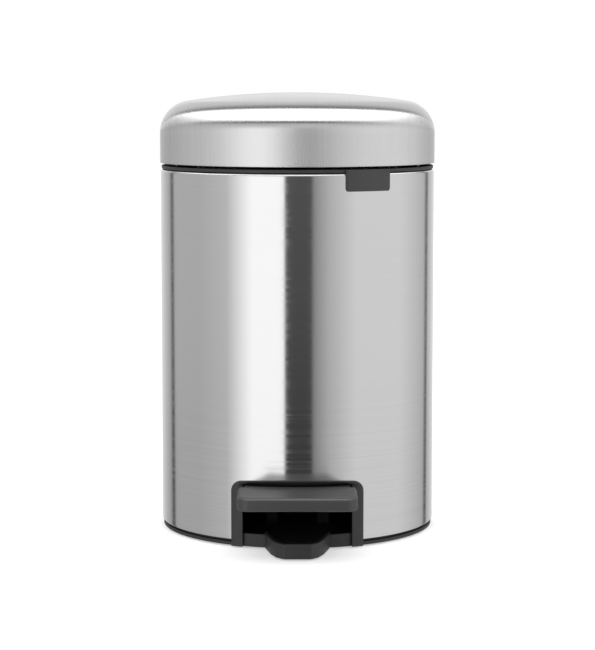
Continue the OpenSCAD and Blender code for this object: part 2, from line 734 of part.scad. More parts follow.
module rod_yoke() {
    slot_z = crank_z - yoke_slot / 2;
    color("#2c2c2e") difference() {
        block(yoke_w, yoke_front, yoke_back, yoke_z, slot_z + yoke_slot + yoke_wall);
        block(tall, 0, yoke_back - yoke_web, slot_z, slot_z + yoke_slot);
        translate([0, rod_y, yoke_z - eps]) cylinder(r = rod_r, h = yoke_grip + eps);
    }
}

module bucket() {
    color("#56565a") difference() {
        union() {
            rotate_extrude($fn = 180)
                polygon([[0, bucket_z], [bucket_floor_r - bucket_heel, bucket_z],
                    [bucket_floor_r, bucket_z + bucket_heel], [bucket_r, bucket_rim_z],
                    [flange_r, bucket_rim_z], [flange_r, bucket_top],
                    [bucket_r - bucket_t, bucket_top],
                    [bucket_floor_r - bucket_t, bucket_z + bucket_toe_h],
                    [bucket_floor_r - bucket_t - bucket_toe_in, bucket_z + bucket_t],
                    [0, bucket_z + bucket_t]]);
            for (side = [-1, 1])
                translate([side * (lug_x + lug_t / 2), 0, 0])
                    block(lug_t, -lug_l / 2, lug_l / 2, bucket_rim_z - lug_root, bucket_top + lug_h);
        }
        block(2 * flange_r, bucket_flat_y, 2 * flange_r, bucket_rim_z - eps, bucket_top + lug_h);
        cross_bar(wire_r + running_gap, 2 * lug_x + 3 * lug_t, 0, handle_z);
    }
}

module bucket_handle() {
    end_x = lug_x - wire_in;
    color("silver") translate([0, 0, handle_z]) {
        rotate(180) rotate_extrude(angle = 180, $fn = 180)
            translate([handle_r, 0]) circle(r = wire_r, $fn = 32);
        for (side = [-1, 1])
            translate([side * end_x, 0, 0]) rotate([0, side * 90, 0])
                cylinder(r = wire_r, h = handle_r - end_x, $fn = 32);
    }
}

body_shell();
top_rim();
lid_buffers();
name_tag();
base();
floor_ring();
pedal_frame();
axle_bushes();
rod_guides();
guide_rivets();
hinge_bracket();
bracket_screws();
bracket_nuts();
hinge_pin();
pin_cap();
lid_shell();
lid_liner();
lid_arm();
lid_screws();
crank_pin();
pedal_pad();
pedal_lever();
pedal_screws();
lever_axle();
axle_clips();
push_rod();
rod_foot();
rod_yoke();
bucket();
bucket_handle();
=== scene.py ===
import json
import bmesh
import bpy
from math import acos, asin, atan2, cos, pi, radians, sin, sqrt, tan
from mathutils import Matrix, Vector


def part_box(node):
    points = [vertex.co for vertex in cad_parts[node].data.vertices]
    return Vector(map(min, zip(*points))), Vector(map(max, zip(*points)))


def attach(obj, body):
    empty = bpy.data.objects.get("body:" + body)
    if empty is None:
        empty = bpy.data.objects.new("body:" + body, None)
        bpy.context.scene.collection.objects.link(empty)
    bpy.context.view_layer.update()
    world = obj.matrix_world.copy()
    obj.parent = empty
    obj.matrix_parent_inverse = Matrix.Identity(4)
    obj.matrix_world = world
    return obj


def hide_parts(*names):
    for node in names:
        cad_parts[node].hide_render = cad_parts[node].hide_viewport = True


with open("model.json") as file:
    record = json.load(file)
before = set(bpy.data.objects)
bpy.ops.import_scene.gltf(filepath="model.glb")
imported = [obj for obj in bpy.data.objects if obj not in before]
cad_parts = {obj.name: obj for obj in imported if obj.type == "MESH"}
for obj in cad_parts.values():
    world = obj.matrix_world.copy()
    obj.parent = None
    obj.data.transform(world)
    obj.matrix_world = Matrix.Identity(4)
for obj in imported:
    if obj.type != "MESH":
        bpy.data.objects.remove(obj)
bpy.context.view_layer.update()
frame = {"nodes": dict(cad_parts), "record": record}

MM = 0.001
TAU = 2 * pi

# ---- node helpers


class Nodes:
    """A short way to write a node tree: n.add("Type", {socket: value or link}, property=value)."""

    def __init__(self, tree):
        self.tree = tree
        tree.nodes.clear()

    def add(self, kind, inputs=None, **props):
        node = self.tree.nodes.new(kind)
        for key, value in props.items():
            setattr(node, key, value)
        for key, value in (inputs or {}).items():
            socket = node.inputs[key]
            if isinstance(value, bpy.types.NodeSocket):
                self.tree.links.new(value, socket)
            else:
                socket.default_value = value
        return node

    def math(self, operation, a, b=0.0, clamp=False):
        node = self.add("ShaderNodeMath", {0: a, 1: b}, operation=operation, use_clamp=clamp)
        return node.outputs[0]

    def scaled(self, value, factor, offset):
        """value * factor + offset."""
        return self.add("ShaderNodeMath", {0: value, 1: factor, 2: offset},
                        operation="MULTIPLY_ADD").outputs[0]

    def mixed(self, factor, a, b, kind="RGBA"):
        """a where the factor is 0 and b where it is 1."""
        return self.add("ShaderNodeMix", {"Factor": factor, "A": a, "B": b},
                        data_type=kind).outputs["Result"]

    def ramp(self, fac, stops):
        """A grey or colour that runs evenly between stops of (place, value)."""
        node = self.add("ShaderNodeValToRGB", {"Fac": fac})
        ramp = node.color_ramp
        while len(ramp.elements) < len(stops):
            ramp.elements.new(0.5)
        for element, (place, value) in zip(ramp.elements, stops):
            element.position = place
            element.color = (*value, 1) if isinstance(value, tuple) else (value, value, value, 1)
        return node.outputs["Color"]

    def stretched_noise(self, scale, detail=2.0, rough=0.5):
        """Noise over the object's own coordinates; scale is in cells a metre along X, Y and Z."""
        place = self.add("ShaderNodeTexCoord").outputs["Object"]
        scaled = self.add("ShaderNodeVectorMath", {0: place, 1: scale}, operation="MULTIPLY")
        noise = self.add("ShaderNodeTexNoise", {"Vector": scaled.outputs[0], "Scale": 1.0,
                                                "Detail": detail, "Roughness": rough})
        return noise.outputs["Fac"]


def material(name):
    m = bpy.data.materials.new(name)
    m.use_nodes = True
    m["slot"] = name
    return m, Nodes(m.node_tree)


def finish_material(n, inputs):
    shader = n.add("ShaderNodeBsdfPrincipled", inputs)
    n.add("ShaderNodeOutputMaterial", {"Surface": shader.outputs[0]})


# ---- materials

# noise is scaled in cells a metre, and bump distances are in metres
TONE_RANGE = 0.03            # how far the steel's colour goes each way along its lines
PATINA = 0.03                # how much the steel's roughness changes over larger patches
HIGHLIGHT_RIDGE_FACING = (0, -0.82, 0.57)    # the way that the front ridge faces, where the plastic is smoother and carries a painted highlight
PAINTED_HIGHLIGHT_PALER, RIDGE_ROUGH = 2.2, 0.12    # how many times paler the ridge's painted highlight is, and the ridge's roughness


def brushed_steel(name, tint, grain_way, rough, aniso, line, relief, swing):
    """Steel with fine grinding lines, which run "round" the axis or "straight" front to back."""
    m, n = material(name)
    if grain_way == "round":
        fine, coarse = (7.0, 7.0, line), (2.5, 2.5, line / 4)
        tangent = n.add("ShaderNodeTangent", direction_type="RADIAL", axis="Z")
    else:
        fine, coarse = (line, 9.0, 9.0), (line / 3, 4.0, 4.0)
        tangent = n.add("ShaderNodeCombineXYZ", {"X": 1.0})
    lines = n.stretched_noise(fine, 3.0, 0.65)
    bands = n.stretched_noise(coarse, 2.0, 0.5)
    patina = n.stretched_noise((22.0, 22.0, 22.0), 2.0, 0.5)
    mixed = n.math("ADD", n.math("MULTIPLY", lines, 0.5), n.math("MULTIPLY", bands, 0.5))
    low = tuple(c * (1 - TONE_RANGE) for c in tint)
    high = tuple(min(c * (1 + TONE_RANGE), 1.0) for c in tint)
    colour = n.ramp(mixed, [(0.3, low), (0.7, high)])
    grain = n.scaled(mixed, swing, rough - swing / 2 - PATINA / 2)
    mottle = n.scaled(patina, PATINA, grain)
    bump = n.add("ShaderNodeBump", {"Height": mixed, "Strength": relief, "Distance": 0.00006})
    finish_material(n, {
        "Base Color": colour, "Metallic": 1.0, "Roughness": mottle, "Anisotropic": aniso,
        "Anisotropic Rotation": 0.25 if grain_way == "round" else 0.0,
        "Normal": bump.outputs[0], "Tangent": tangent.outputs[0]})
    return m


def plain_metal(name, tint, rough):
    """Plated or drawn metal with a slightly cloudy finish."""
    m, n = material(name)
    grain = n.stretched_noise((900.0,) * 3, 3.0, 0.6)
    cloud = n.stretched_noise((160.0,) * 3, 2.0, 0.5)
    colour = n.ramp(cloud, [(0.3, tuple(c * 0.9 for c in tint)), (0.7, tint)])
    roughness = n.scaled(cloud, 0.14, rough - 0.07)
    bump = n.add("ShaderNodeBump", {"Height": grain, "Strength": 0.12, "Distance": 0.0001})
    finish_material(n, {"Base Color": colour, "Metallic": 1.0, "Roughness": roughness,
                        "Normal": bump.outputs[0]})
    return m


def moulded_plastic(name, tint, rough, grain=0.25, grain_scale=2600.0, specular=0.5,
                    smooth_ridge_and_highlight=False):
    """Moulded plastic with a fine spark-eroded grain; optionally a smoother front ridge with a painted
    highlight, its colour made paler.
    """
    m, n = material(name)
    spark = n.stretched_noise((grain_scale,) * 3, 2.0, 0.6)
    cloud = n.stretched_noise((45.0,) * 3, 2.0, 0.5)
    colour = n.ramp(cloud, [(0.3, tuple(c * 0.92 for c in tint)),
                            (0.7, tuple(c * 1.08 for c in tint))])
    roughness = n.scaled(spark, 0.12, rough - 0.06)
    if smooth_ridge_and_highlight:
        facing = n.add("ShaderNodeTexCoord").outputs["Normal"]
        lean = n.add("ShaderNodeVectorMath", {0: facing, 1: HIGHLIGHT_RIDGE_FACING},
                     operation="DOT_PRODUCT").outputs["Value"]
        highlight_ridge_mask = n.ramp(lean, [(0.88, 0.0), (0.98, 1.0)])
        # painted highlight: the ridge that faces up and forward is given a paler colour
        colour = n.mixed(highlight_ridge_mask, colour, (*(c * PAINTED_HIGHLIGHT_PALER for c in tint), 1.0))
        roughness = n.mixed(highlight_ridge_mask, roughness, RIDGE_ROUGH, "FLOAT")
    bump = n.add("ShaderNodeBump", {"Height": spark, "Strength": grain, "Distance": 0.00008})
    finish_material(n, {"Base Color": colour, "Roughness": roughness,
                        "Specular IOR Level": specular, "Normal": bump.outputs[0]})
    return m


BODY_STEEL = brushed_steel("body_steel", (0.80,) * 3, "round", 0.15, 0.8, 1800.0, 0.05, 0.42)
LID_STEEL = brushed_steel("lid_steel", (0.89,) * 3, "straight", 0.27, 0.95, 1500.0, 0.015, 0.05)
RIM_PLASTIC = moulded_plastic("rim_plastic", (0.035, 0.035, 0.037), 0.48)
TAG_PLASTIC = moulded_plastic("tag_plastic", (0.045, 0.045, 0.048), 0.42)
BASE_PLASTIC = moulded_plastic("base_plastic", (0.028, 0.028, 0.030), 0.5)
FRAME_PLASTIC = moulded_plastic("frame_plastic", (0.032, 0.032, 0.034), 0.45)
# the pedal's front ridge is smoother and carries a painted highlight
PEDAL_PLASTIC = moulded_plastic("pedal_plastic", (0.036, 0.036, 0.038), 0.46, specular=0.8,
                                smooth_ridge_and_highlight=True)
LINER_PLASTIC = moulded_plastic("liner_plastic", (0.028, 0.028, 0.030), 0.5)
HINGE_PLASTIC = moulded_plastic("hinge_plastic", (0.025, 0.025, 0.027), 0.45)
BUCKET_PLASTIC = moulded_plastic("bucket_plastic", (0.085, 0.085, 0.09), 0.38, 0.15)
BUSH_PLASTIC = moulded_plastic("bush_plastic", (0.7, 0.7, 0.67), 0.4, 0.1)
SOFT_RUBBER = moulded_plastic("soft_rubber", (0.012, 0.012, 0.012), 0.7, 0.35, 1800.0, 0.3)
ZINC_STEEL = plain_metal("zinc_steel", (0.56, 0.57, 0.59), 0.34)
BRIGHT_WIRE = plain_metal("bright_wire", (0.72, 0.72, 0.74), 0.16)

# ---- mesh tools

ROUND_STEPS = 256      # segments round the body's axis
FILLET_STEPS = 5       # straight steps in a rounded corner of an outline
SHARP = radians(32)    # edges that turn more than this stay sharp
WELD = 2e-6            # points nearer than this, in metres, become one after a cut


def box_mm(node):
    """The lowest and highest corner of a CAD node, in millimetres."""
    low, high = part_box(node)
    return low / MM, high / MM


def joint_place(name):
    """The y and z of a joint's axis, in millimetres."""
    joints = frame["record"]["behaviour"]["joints"]
    return (1000 * v for v in next(j for j in joints if j["name"] == name)["pos_m"][1:])


def fillet(corners, steps=FILLET_STEPS):
    """Points of a closed outline whose corners (x, y, radius) are rounded."""
    points = []
    count = len(corners)
    for i, (x, y, radius) in enumerate(corners):
        here = Vector((x, y))
        if radius <= 0:
            points.append(here)
            continue
        back = (Vector(corners[i - 1][:2]) - here).normalized()
        on = (Vector(corners[(i + 1) % count][:2]) - here).normalized()
        half = acos(max(-1.0, min(1.0, back.dot(on)))) / 2
        centre = here + (back + on).normalized() * radius / sin(half)
        first = here + back * radius / tan(half) - centre
        last = here + on * radius / tan(half) - centre
        sweep = first.angle_signed(last)
        for step in range(steps + 1):
            turn = Matrix.Rotation(-sweep * step / steps, 2)
            points.append(centre + turn @ first)
    return points


def panel(half, low, high, low_radius, high_radius, steps=FILLET_STEPS):
    """An outline that is half wide to each side, from low to high, with rounded corners."""
    return fillet([(-half, low, low_radius), (half, low, low_radius),
                   (half, high, high_radius), (-half, high, high_radius)], steps)


def in_scene(name, data):
    thing = bpy.data.objects.new(name, data)
    bpy.context.scene.collection.objects.link(thing)
    return thing


def as_object(name, bm):
    bmesh.ops.remove_doubles(bm, verts=bm.verts, dist=1e-7)
    bmesh.ops.recalc_face_normals(bm, faces=bm.faces)
    mesh = bpy.data.meshes.new(name)
    bm.to_mesh(mesh)
    bm.free()
    return in_scene(name, mesh)


def skin(bm, loops, wrap=True, join_ends=False, caps=False):
    """Faces between loops of equally many points, given in millimetres.

    wrap closes each loop, join_ends joins the last loop to the first, and caps fills both ends.
    """
    rings = [[bm.verts.new(Vector(p) * MM) for p in loop] for loop in loops]
    count = len(rings[0])
    pairs = list(zip(rings, rings[1:])) + ([(rings[-1], rings[0])] if join_ends else [])
    for lower, upper in pairs:
        for i in range(count if wrap else count - 1):
            j = (i + 1) % count
            bm.faces.new((lower[i], lower[j], upper[j], upper[i]))
    if caps:
        bm.faces.new(rings[0])
        bm.faces.new(rings[-1])
    if not wrap and join_ends:
        bm.faces.new([ring[0] for ring in rings])
        bm.faces.new([ring[-1] for ring in rings])


def skinned(name, loops, caps=True, **how):
    bm = bmesh.new()
    skin(bm, loops, caps=caps, **how)
    return as_object(name, bm)


def round_points(x, y, radius, start, end, steps, height=None):
    """Points on an arc about (x, y), or on an ellipse's arc when height isn't the radius."""
    tall = radius if height is None else height
    turns = [start + (end - start) * i / steps for i in range(steps + 1)]
    return [(x + radius * cos(a), y + tall * sin(a)) for a in turns]


def put(bm, start, place, way):
    """Turn the vertices made since start from +Z towards way, and move them to place (mm)."""
    turn = Vector((0, 0, 1)).rotation_difference(Vector(way)).to_matrix()
    bm.verts.ensure_lookup_table()
    for v in bm.verts[start:]:
        v.co = turn @ v.co + Vector(place) * MM


def turned(bm, outline, steps, centre=(0.0, 0.0)):
    """A closed outline of (radius, height) points turned about a vertical axis."""
    loops = []
    for step in range(steps):
        a = TAU * step / steps
        loops.append([(centre[0] + r * cos(a), centre[1] + r * sin(a), z)
                      for r, z in outline])
    skin(bm, loops, join_ends=True)


def turned_object(name, outline, steps=ROUND_STEPS, centre=(0.0, 0.0), place=None, way=None):
    """A turned solid, which may then be laid along way from place."""
    bm = bmesh.new()
    turned(bm, outline, steps, centre)
    if way:
        put(bm, 0, place, way)
    return as_object(name, bm)


def block(name, low, high):
    """A box between two corners in millimetres."""
    (x0, y0, z0), (x1, y1, z1) = low, high
    return skinned(name, [[(x0, y0, z), (x1, y0, z), (x1, y1, z), (x0, y1, z)]
                          for z in (z0, z1)])


def slab(name, half, across, heights):
    """A box that is half wide to each side of the middle, from y to y and from z to z."""
    return block(name, (-half, across[0], heights[0]), (half, across[1], heights[1]))


def bar(name, radius, start, end, steps=32):
    """A round bar between two points in millimetres."""
    start, end = Vector(start), Vector(end)
    turn = (end - start).to_track_quat("Z", "Y")
    ring = round_points(0.0, 0.0, radius, 0.0, TAU, steps)[:-1]
    return skinned(name, [[start + turn @ Vector((x, y, z)) for x, y in ring]
                          for z in (0.0, (end - start).length)])


def apply_modifiers(piece):
    """Make the mesh what the modifiers show."""
    bpy.context.view_layer.update()
    seen = piece.evaluated_get(bpy.context.evaluated_depsgraph_get())
    mesh = bpy.data.meshes.new_from_object(seen)
    piece.modifiers.clear()
    piece.data = mesh


def combine(piece, tool, operation="DIFFERENCE"):
    """Cut a tool out of a piece, or join it on, and delete the tool."""
    modifier = piece.modifiers.new("combine", "BOOLEAN")
    modifier.operation = operation
    modifier.solver = "EXACT"
    modifier.object = tool
    apply_modifiers(piece)
    bpy.data.objects.remove(tool)
    bm = bmesh.new()
    bm.from_mesh(piece.data)
    bmesh.ops.remove_doubles(bm, verts=bm.verts, dist=WELD)
    bm.to_mesh(piece.data)
    bm.free()
    return piece


def bore(piece, radius, y, z, steps=48, half=30):
    """Cut a round hole along X through a piece."""
    return combine(piece, bar("bore", radius, (-half, y, z), (half, y, z), steps))


def join(piece, *others):
    """Put several objects' meshes into one piece, as separate solids."""
    bm = bmesh.new()
    for one in (piece, *others):
        bm.from_mesh(one.data)
    bm.to_mesh(piece.data)
    bm.free()
    for one in others:
        bpy.data.objects.remove(one)
    return piece


def dress(piece, finish, body, *nodes):
    """Give a finished piece its material, its body and the CAD nodes that it stands for."""
    piece.data.materials.clear()
    piece.data.materials.append(finish)
    piece.data.shade_smooth()
    piece.data.set_sharp_from_angle(angle=SHARP)
    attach(piece, body)
    for node in nodes:
        for material_slot in frame["nodes"][node].material_slots:
            material_slot.material = finish
    if nodes:
        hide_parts(*nodes)


# ---- the lid

LID_LOW, LID_HIGH = box_mm("lid_shell")
LID_R = LID_HIGH.x
LID_EDGE_Z = LID_LOW.z
SHOULDER_R = 20.0
CROWN_RISE = 4.9
STEEL_T = 0.6
LID_SLOT_HALF = 13.0         # half of the lid's opening for the hinge arm
LID_SLOT_H = 11.5            # height of that opening


def lid_outline(inset):
    """The lid's outline from its axis down its shoulder, set in by inset."""
    top = LID_HIGH.z
    x = LID_R - SHOULDER_R
    z = top - CROWN_RISE - SHOULDER_R
    between = (x * x + CROWN_RISE ** 2) / (2 * CROWN_RISE)
    crown_r = between + SHOULDER_R
    lean = asin(x / between)
    crown = [((crown_r - inset) * sin(lean * i / 24),
              top - crown_r + (crown_r - inset) * cos(lean * i / 24)) for i in range(25)]
    arc = []
    for i in range(1, 33):
        a = (pi / 2 - lean) * (1 - i / 32)
        arc.append((x + (SHOULDER_R - inset) * cos(a), z + (SHOULDER_R - inset) * sin(a)))
    skirt = [(LID_R - inset, z + (LID_EDGE_Z + 1 - z) * i / 6) for i in range(1, 7)]
    return crown + arc + skirt


def make_lid():
    outer = lid_outline(0.0)
    inner = lid_outline(STEEL_T)
    middle = LID_R - STEEL_T / 2
    hem = round_points(middle, LID_EDGE_Z + STEEL_T / 2, STEEL_T / 2, 0.0, -pi, 6)
    lid = turned_object("lid", outer + hem + inner[::-1])
    outline = panel(LID_SLOT_HALF, -5, LID_SLOT_H, 0, 2)
    combine(lid, skinned("slot", [[(p.x, y, LID_EDGE_Z + p.y) for p in outline]
                                  for y in (LID_R / 2, LID_R + 5)]))
    dress(lid, LID_STEEL, "lid", "lid_shell")


# ---- the body

BODY_LOW, BODY_HIGH = box_mm("body_shell")
BODY_R = BODY_HIGH.x
ROLL_R = 2.0
REAR_SLOT_HALF = 10.0
REAR_SLOT_DROP = 15.0
FRAME_LOW, FRAME_HIGH = box_mm("pedal_frame")
FRAME_HALF = FRAME_HIGH.x
FRAME_TOP = FRAME_HIGH.z
FRAME_INSET = 3.4
FRAME_CORNER = 6.5
FRAME_BOW = 1.4


def arch(half, top, corner, bow, floor, leg_steps=14, corner_steps=9, top_steps=28):
    """Points (x, z) up the left leg, over the bowed top and down the right leg."""
    left = []
    shoulder = top - bow - corner
    for i in range(leg_steps):
        left.append((-half, floor + (shoulder - floor) * i / leg_steps))
    for i in range(corner_steps + 1):
        a = pi - pi / 2 * i / corner_steps
        left.append((-half + corner + corner * cos(a), shoulder + corner * sin(a)))
    flat = half - corner
    over = [(-flat + 2 * flat * i / top_steps,
             top - bow * (1 - 2 * i / top_steps) ** 2) for i in range(1, top_steps)]
    return left + over + [(-x, z) for x, z in reversed(left)]


def make_body():
    top, bottom = BODY_HIGH.z, BODY_LOW.z
    roll, under = (round_points(BODY_R - ROLL_R, top - ROLL_R, radius, 0.0, pi / 2, 10)
                   for radius in (ROLL_R, ROLL_R - STEEL_T))
    hem = round_points(BODY_R - STEEL_T / 2, bottom + STEEL_T / 2, STEEL_T / 2, pi, TAU, 6)
    rise = [(BODY_R, bottom + 1 + (top - ROLL_R - 1 - bottom) * i / 12) for i in range(12)]
    body = turned_object("body", hem + rise + roll + under[::-1])
    window = arch(FRAME_HALF - FRAME_INSET, FRAME_TOP - FRAME_INSET / 2,
                  FRAME_CORNER - FRAME_INSET / 2, FRAME_BOW, -5.0)
    combine(body, skinned("window", [[(x, y, z) for x, z in window]
                                     for y in (-BODY_R - 5, -BODY_R / 2)]))
    outline = panel(REAR_SLOT_HALF, -REAR_SLOT_DROP, 5, 2, 0)
    combine(body, skinned("rear_slot", [[(p.x, y, top + p.y) for p in outline]
                                        for y in (BODY_R / 2, BODY_R + 5)]))
    dress(body, BODY_STEEL, "can", "body_shell")


def make_seam():
    """The narrow welded seam down the back of the body, a little proud of the steel."""
    seam_half, proud = 0.6, 0.12
    low, high = BODY_LOW.z + 1, box_mm("hinge_bracket")[0].z
    across = [(-seam_half, 0.0), (-seam_half / 2, proud), (seam_half / 2, proud),
              (seam_half, 0.0), (0.0, -0.2)]
    steps = 60
    seam = skinned("body_seam", [[(x, BODY_R - 0.02 + out, low + (high - low) * i / steps)
                                  for x, out in across] for i in range(steps + 1)])
    dress(seam, BODY_STEEL, "can")


# ---- the rim

RIM_LOW, RIM_HIGH = box_mm("top_rim")


def make_rim():
    top = RIM_HIGH.z
    outer = RIM_HIGH.x
    skirt = outer - 1.7
    ledge_in, ledge_top, ledge_under = BODY_R - 11.0, top - 4.5, top - 6.7
    lip_in, lip_under = BODY_R - 7.6, top - 2.1
    skirt_in = skirt - 1.5
    outline = fillet([(ledge_in, ledge_under, 0.3), (ledge_in, ledge_top, 0.5),
                      (lip_in, ledge_top, 0.4), (lip_in, top, 0.7), (outer, top, 0.55),
                      (outer, lip_under, 0.4), (skirt, lip_under, 0.3), (skirt, RIM_LOW.z, 0.4),
                      (skirt_in, RIM_LOW.z, 0.4), (skirt_in, ledge_under, 0.3)])
    rim = turned_object("rim", outline)
    half, deep = REAR_SLOT_HALF, BODY_R / 2
    combine(rim, slab("gap", half, (deep, BODY_R + 5), (RIM_LOW.z - 5, top + 5)))
    dress(rim, RIM_PLASTIC, "can", "top_rim")


BUFFER_R = 1.6


def make_buffers():
    """Soft round pads on the rim, domed on top."""
    low, high = box_mm("lid_buffers")
    reach = high.x - BUFFER_R
    outline = fillet([(0.0, low.z, 0), (BUFFER_R, low.z, 0), (BUFFER_R, high.z, 0.9),
                      (0.0, high.z, 0)])
    bm = bmesh.new()
    for x, y in ((1, 1), (1, -1), (-1, 1), (-1, -1)):
        turned(bm, outline, 32, (x * reach, y * reach))
    dress(as_object("buffers", bm), SOFT_RUBBER, "can", "lid_buffers")


TAG_HALF = 15.2
TAG_MIDDLE = radians(29.7)
TAG_T = 0.9
TAG_CORNER = 1.6
TAG_EDGE = 0.25


def curved_plate(name, bearing, half, inner, thick, low, high, corners, edge, columns=48):
    """A plate bent round the body, with round corners below and above and softened edges.

    bearing is its middle, from the front towards +X, and corners are its lower and upper radii.
    """
    rings = []
    for i in range(columns + 1):
        x = -half + 2 * half * i / columns
        from_end = half - abs(x)
        rise, drop = (c - sqrt(c * c - (c - from_end) ** 2) if from_end < c else 0.0
                      for c in corners)
        thin = edge if i in (0, columns) else 0.0
        section = fillet([(inner, low + rise, edge * 0.4), (inner + thick - thin, low + rise, edge),
                          (inner + thick - thin, high - drop, edge),
                          (inner, high - drop, edge * 0.4)], 4)
        a = bearing + x / (inner + thick)
        rings.append([(r * sin(a), -r * cos(a), z) for r, z in section])
    return skinned(name, rings)


def make_tag():
    """The blank tag that hangs from the rim."""
    low, high = box_mm("name_tag")
    tag = curved_plate("tag", TAG_MIDDLE, TAG_HALF, BODY_R + 0.05, TAG_T, low.z, high.z,
                       (TAG_CORNER, 0.0), TAG_EDGE)
    dress(tag, TAG_PLASTIC, "can", "name_tag")


# ---- base and frame

BASE_LOW, BASE_HIGH = box_mm("base")
BASE_R = BASE_HIGH.x
RING_TOP = 3.0               # top of the base's ring
BODY_FIT_R = BODY_R - 0.7    # outer radius of the wall that the body slips over
GROOVE_R = BODY_R - 2.6      # radius of the shadow groove
UPSTAND_IN = BODY_R - 3.8
UPSTAND_TOP = 14.0
SILL_TOP = 8.8
SILL_HALF = 32.3
WALL_T = 2.0
FOOT_TOP = 9.8
FOOT_REACH = -BASE_LOW.y
PAD_IN, PAD_OUT, PAD_H = 70.0, 78.0, 2.0
POST_X, POST_R, POST_HALF_T = 16.0, 7, 3.5    # the two posts that hold the axle's bushes
BUSH_R = 4.0
AXLE_R = 2.5
AXLE_Y, AXLE_Z = joint_place("pedal_pivot")
# half of the foot in plan: (half width, y, corner radius) from its root to its tip
FOOT_HALF = [(19.0, -BASE_R - 1, 4), (15.6, -101.0, 6), (12.6, -109.0, 4), (8.2, -FOOT_REACH, 3)]
FOOT_TIP_X = 9         # nearer to the middle than this, the foot's corners are set in less
FOOT_FRONT_Y = -90     # only corners further forward than this are set back


def foot_outline(inset, root=6):
    """The foot in plan, from root inside the base's edge round its tip, set in by inset."""
    half = [(19.5, -BASE_R + root, 0)] + FOOT_HALF
    right = [(x - inset * (0.6 if x < FOOT_TIP_X else 1), y + (inset if y < FOOT_FRONT_Y else 0),
              max(r - inset / 2, 0) if r else 0) for x, y, r in half]
    left = [(-x, y, r) for x, y, r in reversed(right)]
    return fillet(right + left, 6)


def plan_solid(name, rings):
    """A solid from (outline, height) rings, from the bottom up."""
    return skinned(name, [[(p.x, p.y, z) for p in outline] for outline, z in rings])


def make_base():
    under = BASE_LOW.z
    ring = fillet([(0, under, 0), (BASE_R, under, 0.5), (BASE_R, RING_TOP, 0.5),
                   (GROOVE_R, RING_TOP, 0.2), (0, RING_TOP, 0)])
    base = turned_object("base_body", ring)
    wall = turned_object("upstand", fillet([
        (UPSTAND_IN, RING_TOP - 0.5, 0), (GROOVE_R, RING_TOP - 0.5, 0), (GROOVE_R, BODY_LOW.z, 0),
        (BODY_FIT_R, BODY_LOW.z, 0.2), (BODY_FIT_R, UPSTAND_TOP, 0.7),
        (UPSTAND_IN, UPSTAND_TOP, 0.3)]))
    combine(wall, slab("front_gap", FRAME_HALF, (-BASE_R - 5, -BASE_R / 2),
                       (RING_TOP, UPSTAND_TOP + 5)))
    sill = turned_object("sill", fillet([
        (BASE_R - WALL_T, RING_TOP - 0.5, 0), (BASE_R - 0.02, RING_TOP - 0.5, 0),
        (BASE_R - 0.02, SILL_TOP, 0.5), (BASE_R - WALL_T, SILL_TOP, 0.5)]))
    combine(sill, slab("sill_part", SILL_HALF, (-BASE_R - 5, -BASE_R / 2), (0, 20)),
            "INTERSECT")
    edge = 0.6
    rims = [(foot_outline(edge * (1 - sin(a))), FOOT_TOP - edge * (1 - cos(a)))
            for a in (pi / 2 * (1 - i / 4) for i in range(5))]
    foot_under = under + 0.03    # just clear of the ring's own underside
    rims = [(foot_outline(0.3), foot_under), (foot_outline(0.0), foot_under + 0.3)] + rims
    foot = plan_solid("foot", rims)
    for post_side in (-1, 1):
        post_x = post_side * POST_X
        arc = round_points(AXLE_Y, AXLE_Z, POST_R, 0.0, pi, 16)
        side = [(AXLE_Y + POST_R, RING_TOP - 0.5)] + arc + [(AXLE_Y - POST_R, RING_TOP - 0.5)]
        combine(base, skinned("post", [[(post_x + t, y, z) for y, z in side]
                                       for t in (-POST_HALF_T, POST_HALF_T)]), "UNION")
    for part in (wall, sill, foot):
        combine(base, part, "UNION")
    pocket = foot_outline(WALL_T, root=8)
    combine(base, plan_solid("pocket", [(pocket, RING_TOP + 0.02), (pocket, FOOT_TOP + 5)]))
    groove = turned_object("groove", [(PAD_IN, -5.0), (PAD_OUT, -5.0), (PAD_OUT, PAD_H),
                                      (PAD_IN, PAD_H)])
    combine(base, groove)
    bore(base, BUSH_R, AXLE_Y, AXLE_Z)
    dress(base, BASE_PLASTIC, "can", "base")


def make_floor_ring():
    """The non-slip ring, with two shallow grooves underneath."""
    outline = [(PAD_IN, 0.3, 0.2), (PAD_IN + 0.3, 0.0, 0.1)]
    for x in (PAD_IN + 2.4, PAD_IN + 4.9):
        outline += [(x, 0.0, 0.05), (x, 0.6, 0.05), (x + 0.7, 0.6, 0.05), (x + 0.7, 0.0, 0.05)]
    outline += [(PAD_OUT - 0.3, 0.0, 0.1), (PAD_OUT, 0.3, 0.2), (PAD_OUT, PAD_H, 0),
                (PAD_IN, PAD_H, 0)]
    dress(turned_object("non_slip_ring", fillet(outline, 2)), SOFT_RUBBER, "can", "floor_ring")


WINDOW_HALF = 32.5
WINDOW_TOP = 38.4
WINDOW_CORNER = 1.5
LIP_STEPS = 8
LIP_SHARE, EDGE_SHARE = 0.16, 0.08    # how much of the arch's width its lip and inner edge take
FACE_SLOPE = 1.9             # how far the bar over the opening slopes in


